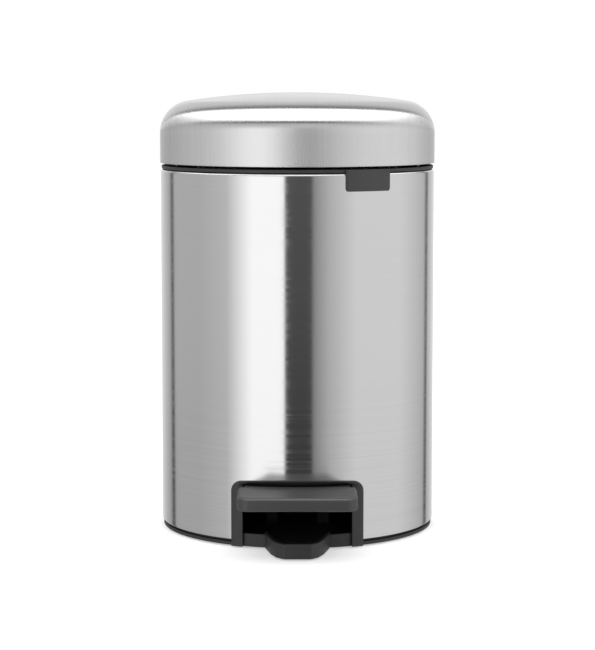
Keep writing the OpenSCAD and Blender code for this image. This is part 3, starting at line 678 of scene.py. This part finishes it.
def make_frame():
    """The arch round the pedal: a rounded outer lip, then a face that slopes in to the opening."""
    outer = arch(FRAME_HALF, FRAME_TOP, FRAME_CORNER, FRAME_BOW, FRAME_LOW.z)
    inner = arch(WINDOW_HALF, WINDOW_TOP, WINDOW_CORNER, 0.0, FRAME_LOW.z)
    plug = arch(FRAME_HALF - FRAME_INSET, FRAME_TOP - FRAME_INSET / 2,
                FRAME_CORNER - FRAME_INSET / 2, FRAME_BOW, FRAME_LOW.z)
    proud, back = 1.2, -2.6

    def over_the_top(z):
        """0 on the legs, 1 on the bar over the opening."""
        share = (z - (WINDOW_TOP - 6)) / 5
        return max(0.0, min(1.0, share))

    def ring(share, depth, slope=0.0):
        loop = []
        for (xo, zo), (xi, zi) in zip(outer, inner):
            x, z = xo + (xi - xo) * share, zo + (zi - zo) * share
            deep = depth - slope * over_the_top(zo)
            radius = BODY_R + deep
            loop.append((x, -sqrt(max(radius ** 2 - x * x, 1.0)), z))
        return loop

    loops = [ring(0.0, 0.02)]
    for i in range(LIP_STEPS + 1):
        a = pi / 2 * i / LIP_STEPS
        loops.append(ring(LIP_SHARE * (1 - cos(a)), proud * (0.35 + 0.65 * sin(a))))
    face_share = 1 - LIP_SHARE - EDGE_SHARE
    for i in range(1, 7):
        share = i / 6
        loops.append(ring(LIP_SHARE + face_share * share, proud, FACE_SLOPE * share * share))
    for i in range(1, 5):
        a = pi / 2 * i / 4
        loops.append(ring(1 - EDGE_SHARE + EDGE_SHARE * sin(a),
                          proud - 0.5 * (1 - cos(a)), FACE_SLOPE))
    loops.append(ring(1.0, back))
    for points, depth in ((plug, back), (plug, 0.02)):
        radius = BODY_R + depth
        loops.append([(x, -sqrt(radius ** 2 - x * x), z) for x, z in points])
    arch_piece = skinned("pedal_arch", loops, caps=False, wrap=False, join_ends=True)
    combine(arch_piece, turned_object("base_room", [
        (0.0, -5.0), (BASE_R + 0.1, -5.0), (BASE_R + 0.1, RING_TOP + 0.05), (0.0, RING_TOP + 0.05)]))
    dress(arch_piece, FRAME_PLASTIC, "can", "pedal_frame")


# ---- the pedal

PEDAL_LOW, PEDAL_HIGH = box_mm("pedal_pad")
PEDAL_HALF = PEDAL_HIGH.x
PEDAL_FRONT = PEDAL_LOW.y
PEDAL_TOP = PEDAL_HIGH.z
PEDAL_BOTTOM = PEDAL_LOW.z
PEDAL_REAR = -(BODY_R + 1.7)
PEDAL_WALL = 2.2
PEDAL_ROOF = 2.4
PEDAL_EDGE = 1.9       # radius of the top edge
PEDAL_DISH = 0.25      # how far the tread sinks
PEDAL_SCREWS_Y = (-72, -102)
PEDAL_SCREW_R = 1.3
NECK_HALF = 31.4
LEVER_WAY_HALF = 10.8
NECK_END = PEDAL_HIGH.y


def pedal_outline(inset, steps=8):
    front, rear, half = PEDAL_FRONT + inset, PEDAL_REAR - inset * 0.4, PEDAL_HALF - inset
    big, small = max(7.0 - inset, 0.6), max(3.0 - inset, 0.4)
    return panel(half, front, rear, big, small, steps)


def make_pedal():
    rings = [(pedal_outline(inset), z) for inset, z in
             ((PEDAL_WALL, PEDAL_TOP - PEDAL_ROOF), (PEDAL_WALL, PEDAL_BOTTOM + 0.4),
              (PEDAL_WALL - 0.4, PEDAL_BOTTOM), (1.1, PEDAL_BOTTOM), (0.5, PEDAL_BOTTOM + 0.2),
              (0.15, PEDAL_BOTTOM + 0.6), (0.0, PEDAL_BOTTOM + 1.2))]
    for i in range(11):
        a = pi / 2 * i / 10
        rings.append((pedal_outline(PEDAL_EDGE * (1 - cos(a))),
                      PEDAL_TOP - PEDAL_EDGE * (1 - sin(a))))
    for i in range(1, 5):
        inset = PEDAL_EDGE + 10 * i / 4
        sink = PEDAL_DISH * (1 - cos(pi * i / 4)) / 2
        rings.append((pedal_outline(inset), PEDAL_TOP - sink))
    pad = plan_solid("pedal", rings)
    neck = plan_solid("neck", [
        (panel(NECK_HALF - s, PEDAL_REAR - 3, NECK_END - s, 0, 2), z)
        for s, z in ((0.4, PEDAL_BOTTOM + 1.0), (0.0, PEDAL_BOTTOM + 1.4),
                     (0.0, PEDAL_TOP - 0.9), (0.5, PEDAL_TOP - 0.4))])
    combine(neck, slab("lever_way", LEVER_WAY_HALF, (PEDAL_REAR - 10, NECK_END + 5),
                       (PEDAL_BOTTOM - 5, PEDAL_TOP - PEDAL_ROOF)))
    combine(pad, neck, "UNION")
    rib_t = 1.4
    for x in (-23, -15, 15, 23):
        rib = block("rib", (x - rib_t / 2, PEDAL_FRONT + 1.5, PEDAL_BOTTOM + 1.6),
                    (x + rib_t / 2, PEDAL_REAR - 1, PEDAL_TOP - PEDAL_ROOF + 0.5))
        combine(pad, rib, "UNION")
    dress(pad, PEDAL_PLASTIC, "pedal", "pedal_pad")


# ---- the bucket

BUCKET_LOW, BUCKET_HIGH = box_mm("bucket")
BUCKET_R = 72.5
BUCKET_FLOOR_R = 62.5
BUCKET_T = 1.6
FLANGE_R = BUCKET_HIGH.x
LUG_H = 4.6
BUCKET_TOP = BUCKET_HIGH.z - LUG_H
LUG_IN, LUG_OUT, LUG_HALF = 70.0, 71.8, 3.0
WIRE_R = 1.5
WIRE_Z = BUCKET_TOP + WIRE_R + 0.2


def extruded(name, outline, start, end, axis="X", edge=0.0):
    """An outline pushed along X or Y, with its two end edges rounded by edge."""
    def place(p, along, inset):
        out = p - middle
        q = p if not inset else middle + out * (1 - inset / max(out.length, inset))
        return (along, q.x, q.y) if axis == "X" else (q.x, along, q.y)

    outline = [Vector(p) for p in outline]
    middle = sum(outline, Vector((0, 0))) / len(outline)
    sections = [(start, 0.0), (end, 0.0)]
    if edge:
        sections = [(start, edge), (start + edge * 0.3, edge * 0.3), (start + edge, 0.0),
                    (end - edge, 0.0), (end - edge * 0.3, edge * 0.3), (end, edge)]
    return skinned(name, [[place(p, along, inset) for p in outline]
                          for along, inset in sections])


def make_bucket():
    floor, top, under = BUCKET_LOW.z, BUCKET_TOP, BUCKET_TOP - BUCKET_T
    outline = fillet([
        (0.0, floor, 0), (BUCKET_FLOOR_R - 0.6, floor, 4.5), (BUCKET_R, under, 0.4),
        (FLANGE_R, under, 0.4), (FLANGE_R, top, 0.6), (BUCKET_R - BUCKET_T, top, 0.6),
        (BUCKET_FLOOR_R - BUCKET_T - 0.6, floor + BUCKET_T, 3.5), (0.0, floor + BUCKET_T, 0)], 7)
    bucket = turned_object("bucket_wall", outline)
    combine(bucket, slab("rear_flat", FLANGE_R, (73.2, 90), (under - 0.01, top + 5)))
    for side in (-1, 1):
        lug = panel(LUG_HALF, under - 2.0, BUCKET_HIGH.z, 0, 2.6)
        low, high = sorted((side * LUG_IN, side * LUG_OUT))
        combine(bucket, extruded("lug", lug, low, high, "X", 0.3), "UNION")
    bore(bucket, WIRE_R + 0.05, 0, WIRE_Z, 32, FLANGE_R + 1)
    dress(bucket, BUCKET_PLASTIC, "bucket", "bucket")


def tube(name, path, radius, steps=20):
    """A round wire along a path of points that lies level."""
    points = [Vector(p) for p in path]
    loops = []
    for i, p in enumerate(points):
        way = (points[min(i + 1, len(points) - 1)] - points[max(i - 1, 0)]).normalized()
        side = way.cross(Vector((0, 0, 1))).normalized()
        loops.append([p + side * radius * cos(a) + Vector((0, 0, radius * sin(a)))
                      for a in (TAU * k / steps for k in range(steps))])
    return skinned(name, loops)


def make_handle():
    """The wire bail: a half ring whose ends turn in through the lugs."""
    bow = FLANGE_R - WIRE_R
    elbow = 2.0
    end = [(LUG_IN - 1.0, 0.0)] + round_points(bow - elbow, -elbow, elbow, pi / 2, 0.0, 6)
    first = asin(elbow / bow) + 0.02
    arc = round_points(0.0, 0.0, bow, -first, first - pi, 120)
    path = end + arc + [(-x, y) for x, y in reversed(end)]
    dress(tube("bail", [(x, y, WIRE_Z) for x, y in path], WIRE_R), BRIGHT_WIRE, "handle",
          "bucket_handle")


# ---- lid liner, hinge and crank

HINGE_Y, HINGE_Z = joint_place("lid_hinge")
CRANK_LOW, CRANK_HIGH = box_mm("crank_pin")
CRANK_Y, CRANK_Z = (CRANK_LOW.y + CRANK_HIGH.y) / 2, (CRANK_LOW.z + CRANK_HIGH.z) / 2
ROD_LOW, ROD_HIGH = box_mm("push_rod")
ROD_Y = (ROD_LOW.y + ROD_HIGH.y) / 2
ROD_R = ROD_HIGH.x
PIN_R = CRANK_HIGH.z - CRANK_Z
LID_SCREW_Z = LID_EDGE_Z + 15.3
LID_SCREW_X = 7.0
PLATE_Y = 77.5               # inner face of the hinge arm's upright plate
PLATE_T = 4.0


def make_liner():
    low, high = box_mm("lid_liner")
    outer = high.x
    wall, shelf, shelf_z, shelf_t = 1.5, 79.0, LID_EDGE_Z + 13.5, 1.5
    outline = fillet([
        (outer - wall, low.z, 0.4), (outer, low.z, 0.6), (outer, high.z, 0.3),
        (outer - wall, high.z, 0.4), (outer - wall, shelf_z + shelf_t, 0.6),
        (shelf, shelf_z + shelf_t, 0.5), (shelf, shelf_z, 0.5), (outer - wall, shelf_z, 0.8)])
    liner = turned_object("liner", outline)
    bm = bmesh.new()
    for i in range(24):
        a = TAU * (i + 0.5) / 24
        if abs(a - pi / 2) < 0.3:
            continue
        along, across = Vector((cos(a), sin(a), 0)), Vector((-sin(a), cos(a), 0))
        rib = [(outer - 1.2, shelf_z + 0.3), (outer - 1.2, shelf_z - 6.5), (shelf + 0.6, shelf_z + 0.3)]
        skin(bm, [[along * r + across * t + Vector((0, 0, z)) for r, z in rib]
                  for t in (-0.5, 0.5)], caps=True)
    combine(liner, as_object("ribs", bm), "UNION")
    boss = slab("boss", 12, (PLATE_Y + PLATE_T, 83.0), (LID_EDGE_Z + LID_SLOT_H + 1, high.z))
    combine(liner, boss, "UNION")
    combine(liner, slab("way", LID_SLOT_HALF, (40, 90), (low.z - 5, LID_EDGE_Z + LID_SLOT_H)))
    combine(liner, slab("seat", LID_SLOT_HALF, (40, PLATE_Y + PLATE_T), (low.z - 5, high.z + 5)))
    dress(liner, LINER_PLASTIC, "lid", "lid_liner")


def bevelled(piece, width, steps=2):
    """Round a piece's sharp edges and make them part of its mesh."""
    edge = piece.modifiers.new("edge", "BEVEL")
    edge.width = width * MM
    edge.segments = steps
    edge.limit_method = "ANGLE"
    edge.angle_limit = radians(40)
    apply_modifiers(piece)
    return piece


def make_lid_arm():
    knuckle_half, web_half, fork_in, fork_t = 11.7, 11.5, 5.0, 3.0
    high = box_mm("lid_arm")[1]
    web_top = LID_EDGE_Z + LID_SLOT_H - 0.5
    side = fillet([
        (HINGE_Y - 3.8, HINGE_Z, 0), (HINGE_Y + 4, HINGE_Z, 0), (HINGE_Y + 4, HINGE_Z + 7, 2.5),
        (HINGE_Y + 1, web_top, 1.5), (PLATE_Y + PLATE_T, web_top, 0.4),
        (PLATE_Y + PLATE_T, high.z, 0.5), (PLATE_Y, high.z, 0.8), (PLATE_Y, HINGE_Z + 4, 0.8),
        (HINGE_Y - 3.8, HINGE_Z + 4, 0.6)], 4)
    arm = extruded("hinge_arm", side, -web_half, web_half)
    combine(arm, bar("knuckle", 4.0, (-knuckle_half, HINGE_Y, HINGE_Z),
                     (knuckle_half, HINGE_Y, HINGE_Z), 48), "UNION")
    way = Vector((CRANK_Y - HINGE_Y, CRANK_Z - HINGE_Z))
    length, tip = way.length, PIN_R + 1.2
    lean = atan2(way.y, way.x)
    turn = Matrix.Rotation(lean, 2)
    shape = [(0.0, -tip)] + round_points(length, 0.0, tip, -pi / 2, pi / 2, 20)
    shape += [(0.0, tip)]
    outline = [turn @ Vector(p) + Vector((HINGE_Y, HINGE_Z)) for p in shape]
    for x in (-fork_in - fork_t, fork_in):
        combine(arm, extruded("crank", outline, x, x + fork_t), "UNION")
    bore(arm, PIN_R + 0.05, HINGE_Y, HINGE_Z)
    bore(arm, PIN_R, CRANK_Y, CRANK_Z)
    dress(arm, HINGE_PLASTIC, "lid", "lid_arm")


BRACKET_LOW, BRACKET_HIGH = box_mm("hinge_bracket")
BRACKET_HALF = 18.0
BRACKET_BACK = BRACKET_HIGH.y
BRACKET_SCREW_X = 21.0
BRACKET_SCREW_Z = BRACKET_LOW.z + 7.5
BRACKET_SEAT_Y = 84.0
SCREW_R = 1.5          # shank of the bracket's and the lid's screws and of the rivets
PIN_HEAD_R = 3.4


def make_bracket():
    flange_t, flange_h, cheek_in, cheek_r = 2.8, 15.0, 12.2, 4.5
    wall_top = HINGE_Z - 4.4
    flange_half = (BODY_R + flange_t) * asin(BRACKET_HIGH.x / (BODY_R + flange_t))
    plate = curved_plate("bracket", pi, flange_half, BODY_R, flange_t, BRACKET_LOW.z,
                         BRACKET_LOW.z + flange_h, (3.0, 3.0), 0.6)
    over = round_points(HINGE_Y, HINGE_Z, cheek_r, 0.0, pi, 24)
    lower = BRACKET_LOW.z + flange_h / 2
    side = fillet([(80.0, lower, 0), (BRACKET_BACK, lower, 3.0),
                   (BRACKET_BACK, wall_top, 0.5), (HINGE_Y + cheek_r, wall_top + 0.8, 0.3)])
    side = side + over + [(80.0, HINGE_Z)]
    tower = extruded("tower", side, -BRACKET_HALF, BRACKET_HALF)
    combine(tower, slab("between", cheek_in, (40, 120), (wall_top, HINGE_Z + 20)))
    combine(tower, slab("pocket", cheek_in, (40, BRACKET_BACK - 3.0), (lower + 3, HINGE_Z + 20)))
    combine(tower, turned_object("body_room", [(0.0, 100.0), (BODY_R + 0.01, 100.0),
                                               (BODY_R + 0.01, 240.0), (0.0, 240.0)]))
    bevelled(tower, 0.45)
    combine(plate, tower, "UNION")
    bore(plate, PIN_R, HINGE_Y, HINGE_Z)
    for sign in (-1, 1):
        x = sign * BRACKET_SCREW_X
        for radius, start in ((SCREW_R, 60.0), (3.2, BRACKET_SEAT_Y)):
            combine(plate, bar("hole", radius, (x, start, BRACKET_SCREW_Z), (x, 110, BRACKET_SCREW_Z)))
    dress(plate, HINGE_PLASTIC, "can", "hinge_bracket")


# ---- screws and pins


RIVET_X = 5


def fastener(name, head_r, head_t, shank_r, shank_l, place, way, recess=True):
    """A domed head on a plain shank, whose seat is at place; a screw has a cross recess."""
    dome = round_points(0.0, head_t * 0.35, head_r, 0.0, pi / 2, 8, head_t * 0.65)
    outline = [(0.0, -shank_l), (shank_r - 0.25, -shank_l), (shank_r, -shank_l + 0.25),
               (shank_r, 0.0), (head_r, 0.0)] + dome[:-1] + [(0.0, head_t)]
    piece = turned_object(name, outline, 40)
    if recess:
        for turn in (0, 1):
            long, thin = head_r * 0.55, 0.26
            half = (long, thin) if turn else (thin, long)
            combine(piece, slab("slot", half[0], (-half[1], half[1]), (head_t * 0.45, head_t + 1)))
    bm = bmesh.new()
    bm.from_mesh(piece.data)
    put(bm, 0, place, way)
    bm.to_mesh(piece.data)
    bm.free()
    return piece


def make_fasteners():
    sides = (-1, 1)
    screws = [fastener("bracket_screw", 2.8, 2.0, SCREW_R, 5.6,
                       (s * BRACKET_SCREW_X, BRACKET_SEAT_Y, BRACKET_SCREW_Z), (0, 1, 0))
              for s in sides]
    dress(join(*screws), ZINC_STEEL, "can", "bracket_screws")
    screws = [fastener("lid_screw", 2.8, 1.6, SCREW_R, 5.5,
                       (s * LID_SCREW_X, PLATE_Y, LID_SCREW_Z), (0, -1, 0)) for s in sides]
    dress(join(*screws), ZINC_STEEL, "lid", "lid_screws")
    low, _ = box_mm("pedal_screws")
    screws = [fastener("pedal_screw", 2.4, 1.5, PEDAL_SCREW_R, 3.0, (0, y, low.z + 1.5),
                       (0, 0, -1)) for y in PEDAL_SCREWS_Y]
    dress(join(*screws), ZINC_STEEL, "pedal", "pedal_screws")
    low, high = box_mm("guide_rivets")
    rivets = [fastener("rivet", 2.8, 0.9, SCREW_R, 7.0, (s * RIVET_X, BODY_R, z), (0, 1, 0), False)
              for s in sides for z in (low.z + 2.8, high.z - 2.8)]
    dress(join(*rivets), ZINC_STEEL, "can", "guide_rivets")
    low, high = box_mm("bracket_nuts")
    nuts = []
    for s in sides:
        hexagon = round_points(s * BRACKET_SCREW_X, BRACKET_SCREW_Z, 3, 0.0, TAU, 6)[:-1]
        nut = bevelled(extruded("nut", hexagon, low.y, high.y, "Y"), 0.3)
        nuts.append(combine(nut, bar("thread", 1.52, (s * BRACKET_SCREW_X, 70, BRACKET_SCREW_Z),
                                     (s * BRACKET_SCREW_X, 90, BRACKET_SCREW_Z))))
    dress(join(*nuts), ZINC_STEEL, "can", "bracket_nuts")


def cross_pin(name, radius, half, y, z, chamfer=0.4):
    """A round pin along X with chamfered ends."""
    outline = [(0.0, -half), (radius - chamfer, -half), (radius, -half + chamfer),
               (radius, half - chamfer), (radius - chamfer, half), (0.0, half)]
    return turned_object(name, outline, 40, place=(0, y, z), way=(1, 0, 0))


def make_pins():
    pin = cross_pin("lid_pin", PIN_R, box_mm("hinge_pin")[1].x, HINGE_Y, HINGE_Z)
    outline = fillet([(0.0, 0.1, 0), (PIN_HEAD_R, 0.1, 0.2), (PIN_HEAD_R, 1.7, 0.7), (0.0, 1.7, 0)])
    combine(pin, turned_object("pin_head", outline, 40, place=(-BRACKET_HALF, HINGE_Y, HINGE_Z),
                               way=(-1, 0, 0)), "UNION")
    dress(pin, ZINC_STEEL, "can", "hinge_pin")
    outline = fillet([(PIN_R, 0.1, 0.1), (PIN_HEAD_R, 0.1, 0.2), (PIN_HEAD_R, 2.1, 0.8),
                      (PIN_R, 2.1, 0.2)])
    cap = turned_object("pin_end_cap", outline, 40, place=(BRACKET_HALF, HINGE_Y, HINGE_Z),
                        way=(1, 0, 0))
    dress(cap, HINGE_PLASTIC, "can", "pin_cap")
    dress(cross_pin("crank_peg", PIN_R, CRANK_HIGH.x, CRANK_Y, CRANK_Z, 0.3), ZINC_STEEL, "lid",
          "crank_pin")
    low, high = box_mm("lever_axle")
    dress(cross_pin("axle", (high.z - low.z) / 2, high.x, AXLE_Y, AXLE_Z), ZINC_STEEL, "pedal",
          "lever_axle")
    low, high = box_mm("axle_clips")
    clips = []
    for side in (-1, 1):
        clip = bar("clip", (high.y - low.y) / 2, (side * (high.x - 0.8), AXLE_Y, AXLE_Z),
                   (side * high.x, AXLE_Y, AXLE_Z), 48)
        bore(clip, AXLE_R, AXLE_Y, AXLE_Z, 40, 60)
        combine(clip, slab("clip_gap", 60, (AXLE_Y - 1.6, AXLE_Y + 1.6), (0, AXLE_Z)))
        clips.append(clip)
    dress(join(*clips), ZINC_STEEL, "pedal", "axle_clips")


# ---- lever, rod and guides


def make_bushes():
    bm = bmesh.new()
    inner, collar, length = AXLE_R + 0.05, 5.5, 2 * POST_HALF_T
    outline = fillet([(inner, -1.0, 0.2), (collar, -1.0, 0.3), (collar, 0.0, 0.2),
                      (BUSH_R, 0.0, 0), (BUSH_R, length, 0.3), (inner, length, 0.2)], 3)
    for side in (-1, 1):
        start = len(bm.verts)
        turned(bm, outline, 48)
        put(bm, start, (side * (POST_X - POST_HALF_T), AXLE_Y, AXLE_Z), (side, 0, 0))
    dress(as_object("bushes", bm), BUSH_PLASTIC, "can", "axle_bushes")


def make_lever():
    """The folded sheet lever: a channel, open below."""
    front, rear, half, sheet = -112.0, 81.0, 10.5, 1.5
    under_pedal = PEDAL_TOP - PEDAL_ROOF
    bend, knee, crest, depth = -50.0, 40.0, AXLE_Z + 7, 5.0
    side = fillet([
        (front, under_pedal, 1.0), (bend, under_pedal, 6), (AXLE_Y, crest, 8), (knee, AXLE_Z, 8),
        (rear, AXLE_Z, 1.0), (rear, AXLE_Z - 4, 0.8), (knee, AXLE_Z - depth, 4),
        (AXLE_Y - 6, AXLE_Z - depth, 2),
        (bend, under_pedal - depth, 5), (front, under_pedal - depth, 1.2)], 4)
    lever = extruded("lever", side, -half, half, "X", 0.5)
    inside = fillet([
        (front - 5, under_pedal - sheet, 0), (bend, under_pedal - sheet, 5),
        (AXLE_Y, crest - sheet, 8), (knee, AXLE_Z - sheet, 8), (rear + 5, AXLE_Z - sheet, 0),
        (rear + 5, -5, 0), (front - 5, -5, 0)], 4)
    combine(lever, extruded("channel", inside, -half + sheet, half - sheet))
    bore(lever, AXLE_R, AXLE_Y, AXLE_Z, 40)
    for y in PEDAL_SCREWS_Y:
        combine(lever, bar("screw_hole", PEDAL_SCREW_R, (0, y, 0), (0, y, 60)))
    dress(lever, ZINC_STEEL, "pedal", "pedal_lever")


def make_rod():
    outline = [(0.0, ROD_LOW.z), (ROD_R - 0.3, ROD_LOW.z), (ROD_R, ROD_LOW.z + 0.3),
               (ROD_R, ROD_HIGH.z - 0.3), (ROD_R - 0.3, ROD_HIGH.z), (0.0, ROD_HIGH.z)]
    dress(turned_object("rod", outline, 40, (0.0, ROD_Y)), BRIGHT_WIRE, "rod", "push_rod")
    low, high = box_mm("rod_foot")
    outline = fillet([(0.0, low.z, 0), (high.x, low.z, 1.0), (high.x, high.z, 0.5),
                      (ROD_R, high.z, 0.2), (ROD_R, low.z + 2, 0), (0.0, low.z + 2, 0)])
    dress(turned_object("rod_shoe", outline, 40, (0.0, ROD_Y)), HINGE_PLASTIC, "rod", "rod_foot")
    low, high = box_mm("rod_yoke")
    slot_half = PIN_R + 0.4
    yoke = block("yoke", tuple(low), tuple(high))
    combine(yoke, slab("yoke_slot", 20, (low.y - 5, high.y - 1.4),
                       (CRANK_Z - slot_half, CRANK_Z + slot_half)))
    bevelled(yoke, 0.5)
    combine(yoke, bar("rod_socket", ROD_R, (0, ROD_Y, low.z - 1), (0, ROD_Y, low.z + 6)))
    dress(yoke, HINGE_PLASTIC, "rod", "rod_yoke")


def make_guides():
    low, high = box_mm("rod_guides")
    height, steel_in = 10.0, BODY_R - STEEL_T
    guides = []
    for z in (low.z, high.z - height):
        guide = block("guide", (low.x, low.y, z), (high.x, steel_in, z + height))
        combine(guide, turned_object("inside_the_body", [
            (0.0, z - 1), (steel_in, z - 1), (steel_in, z + height + 1),
            (0.0, z + height + 1)]), "INTERSECT")
        bevelled(guide, 0.6)
        combine(guide, bar("rod_way", ROD_R + 0.05, (0, ROD_Y, z - 5), (0, ROD_Y, z + 15), 40))
        for side in (-1, 1):
            x, middle = side * RIVET_X, z + height / 2
            combine(guide, bar("rivet_way", SCREW_R, (x, 60, middle), (x, 90, middle)))
        guides.append(guide)
    dress(join(*guides), HINGE_PLASTIC, "can", "rod_guides")


# ---- camera and room

# the camera's place, in metres: in front of the pedal, a little above the lid's top, looking
# slightly down
CAMERA_AWAY = 1.331
CAMERA_SIDE = 0.0001
CAMERA_HEIGHT = 0.2738
CAMERA_PITCH = radians(6.38)
LENS_MM = 118.4
SENSOR_MM = 36.0


def make_camera():
    data = bpy.data.cameras.new("camera")
    data.lens = LENS_MM
    data.sensor_width = SENSOR_MM
    data.clip_end = 50.0
    camera = in_scene("camera", data)
    camera.location = (CAMERA_SIDE, -CAMERA_AWAY, CAMERA_HEIGHT)
    camera.rotation_euler = (pi / 2 - CAMERA_PITCH, 0.0, 0.0)
    bpy.context.scene.camera = camera


# what stands round the object, as the steel sees it: where each thing starts and ends, in degrees
# from the front towards +X, and how bright it is. Brightness runs evenly from one to the next.
PANELS = [
    ("backdrop", -180, -163, 0.78),
    ("backdrop's shaded edge", -136, -136, 0.44),
    ("left flag", -130.5, -129, 0.12),
    ("left screen", -125, -90, 0.485),
    ("left screen's near edge", -61, -61, 0.57),
    ("soft box", -38, -10.2, 1.19),
    ("black card", -9.8, 11.5, 0.092),
    ("right screen's near edge", 13.6, 13.6, 0.30),
    ("right screen's bend", 27, 27.5, 0.53),
    ("right screen", 50, 95, 0.76),
    ("right screen's far edge", 133, 133, 0.52),
    ("right flag", 138, 140, 0.15),
    ("backdrop's shaded edge", 144, 144, 0.55),
    ("backdrop", 163, 180, 0.78)]
# the overhead soft box and the ceiling behind it, from over the object to the far wall
CEILING = [(0.0, 1.5), (0.165, 1.5), (0.185, 0.12), (0.28, 0.16), (0.38, 0.36), (0.47, 0.55),
           (0.75, 0.64), (0.85, 0.80), (0.92, 1.0), (1.0, 1.2)]
BRIGHTEST = 1.5
# the panels end at this elevation in degrees, and the plain upper wall shows above them
PANEL_TOPS = [(20, 0.0), (32, 1.0)]
UPPER_WALL = 0.5 / BRIGHTEST
# how much light the panels lose below the horizon; 1 is a quarter of a radian down
FLOOR_SHADE_PER_RADIAN = 4.0
FLOOR_SHADE = [(0.50, 0.0), (0.70, 0.06), (1.0, 0.08)]
# the dark valance along the overhead box's near edge: how it fades in below that edge, which is
# at 0.5, and how dense it is at each bearing
VALANCE_EDGE = [(0.0, 0.0), (0.14, 0.0), (0.28, 1.0), (0.49, 1.0), (0.5, 0.0)]
VALANCE = [(-115, 0.0), (-80, 0.8), (-20, 0.95), (42, 0.9), (72, 0.0)]
BOX_FRONT = radians(50)  # elevation of the overhead box's near edge, straight ahead
BOX_DROOP = 0.0973            # how that edge gets lower towards the sides
BOX_BACK_CURVE = 0.85         # how far the box's back edge bends away from the middle
BOX_HALF_WIDTH = 1.5          # half of its width, for a box 1 above the object


def make_world():
    world = bpy.data.worlds.new("studio")
    bpy.context.scene.world = world
    world.use_nodes = True
    n = Nodes(world.node_tree)
    ray = n.add("ShaderNodeTexCoord").outputs["Generated"]
    part = n.add("ShaderNodeSeparateXYZ", {0: ray})
    x, y, z = (part.outputs[i] for i in range(3))
    ahead = n.math("MULTIPLY", y, -1.0)
    bearing = n.math("ARCTAN2", x, ahead)
    height = n.math("ARCSINE", z)
    turn = n.math("ADD", n.math("MULTIPLY", bearing, 1 / TAU), 0.5)
    stops = [((a + 180) / 360, v / BRIGHTEST)
             for _, start, end, v in PANELS for a in sorted({start, end})]
    panels = n.ramp(turn, stops)
    elevation = n.math("MULTIPLY", height, 2 / pi)
    rise = n.ramp(elevation, [(a / 90, v) for a, v in PANEL_TOPS])
    depth = n.math("MULTIPLY", height, -FLOOR_SHADE_PER_RADIAN, clamp=True)
    shade = n.ramp(depth, [(place, v / BRIGHTEST) for place, v in FLOOR_SHADE])
    panels = n.add("ShaderNodeVectorMath", {0: panels, 1: shade}, operation="SUBTRACT").outputs[0]
    walls = n.mixed(rise, panels, (UPPER_WALL, UPPER_WALL, UPPER_WALL, 1.0))
    droop = n.math("MULTIPLY", n.math("MULTIPLY", bearing, bearing), BOX_DROOP)
    above = n.math("ADD", n.math("ADD", height, droop), -BOX_FRONT)
    edge = n.math("ADD", n.math("MULTIPLY", above, 2.0), 0.5, clamp=True)
    line = n.ramp(edge, VALANCE_EDGE)
    reach = n.ramp(turn, [((a + 180) / 360, v) for a, v in VALANCE])
    dim = n.math("SUBTRACT", 1.0, n.math("MULTIPLY", line, reach))
    lower = n.mixed(dim, (0.0, 0.0, 0.0, 1.0), walls)
    up = n.math("MAXIMUM", z, 0.02)
    across, along = n.math("DIVIDE", x, up), n.math("DIVIDE", y, up)
    bend = n.math("MULTIPLY", n.math("MULTIPLY", across, across), BOX_BACK_CURVE)
    back = n.math("MAXIMUM", n.math("SUBTRACT", along, bend), 0.0)
    ceiling = n.ramp(n.math("DIVIDE", back, n.math("ADD", back, 1.0)),
                     [(place, v / BRIGHTEST) for place, v in CEILING])
    raised = n.ramp(elevation, [(0.03, 0.0), (0.11, 1.0)])
    width = n.math("DIVIDE", n.math("ABSOLUTE", across), 2 * BOX_HALF_WIDTH)
    within = n.ramp(width, [(0.46, 1.0), (0.5, 0.0)])
    over = n.math("MULTIPLY", n.ramp(edge, [(0.49, 0.0), (0.51, 1.0)]), raised)
    over = n.math("MULTIPLY", over, within)
    room = n.mixed(over, lower, ceiling)
    light = n.add("ShaderNodeBackground", {"Color": room, "Strength": BRIGHTEST})
    white = n.add("ShaderNodeBackground", {"Color": (1, 1, 1, 1), "Strength": 1.0})
    is_camera = n.add("ShaderNodeLightPath").outputs["Is Camera Ray"]
    both = n.add("ShaderNodeMixShader", {"Fac": is_camera, 1: light.outputs[0],
                                         2: white.outputs[0]})
    n.add("ShaderNodeOutputWorld", {"Surface": both.outputs[0]})


def make_floor():
    bm = bmesh.new()
    bmesh.ops.create_circle(bm, cap_ends=True, radius=6.0, segments=96)
    mesh = bpy.data.meshes.new("floor")
    bm.to_mesh(mesh)
    bm.free()
    floor = in_scene("floor", mesh)
    m, n = material("floor_white")
    cloud = n.stretched_noise((3.0, 3.0, 3.0))
    colour = n.ramp(cloud, [(0.3, 0.90), (0.7, 0.92)])
    finish_material(n, {"Base Color": colour, "Roughness": 0.8,
                        "Emission Color": (1, 1, 1, 1), "Emission Strength": 0.45})
    mesh.materials.append(m)
    floor.visible_glossy = False


for make in (make_camera, make_world, make_floor, make_lid, make_body, make_seam, make_rim,
             make_buffers, make_tag, make_base, make_floor_ring, make_frame, make_pedal, make_bucket,
             make_handle, make_liner, make_lid_arm, make_bracket, make_fasteners, make_pins,
             make_bushes, make_lever, make_rod, make_guides):
    make()
bpy.context.scene.view_settings.view_transform = "Standard"
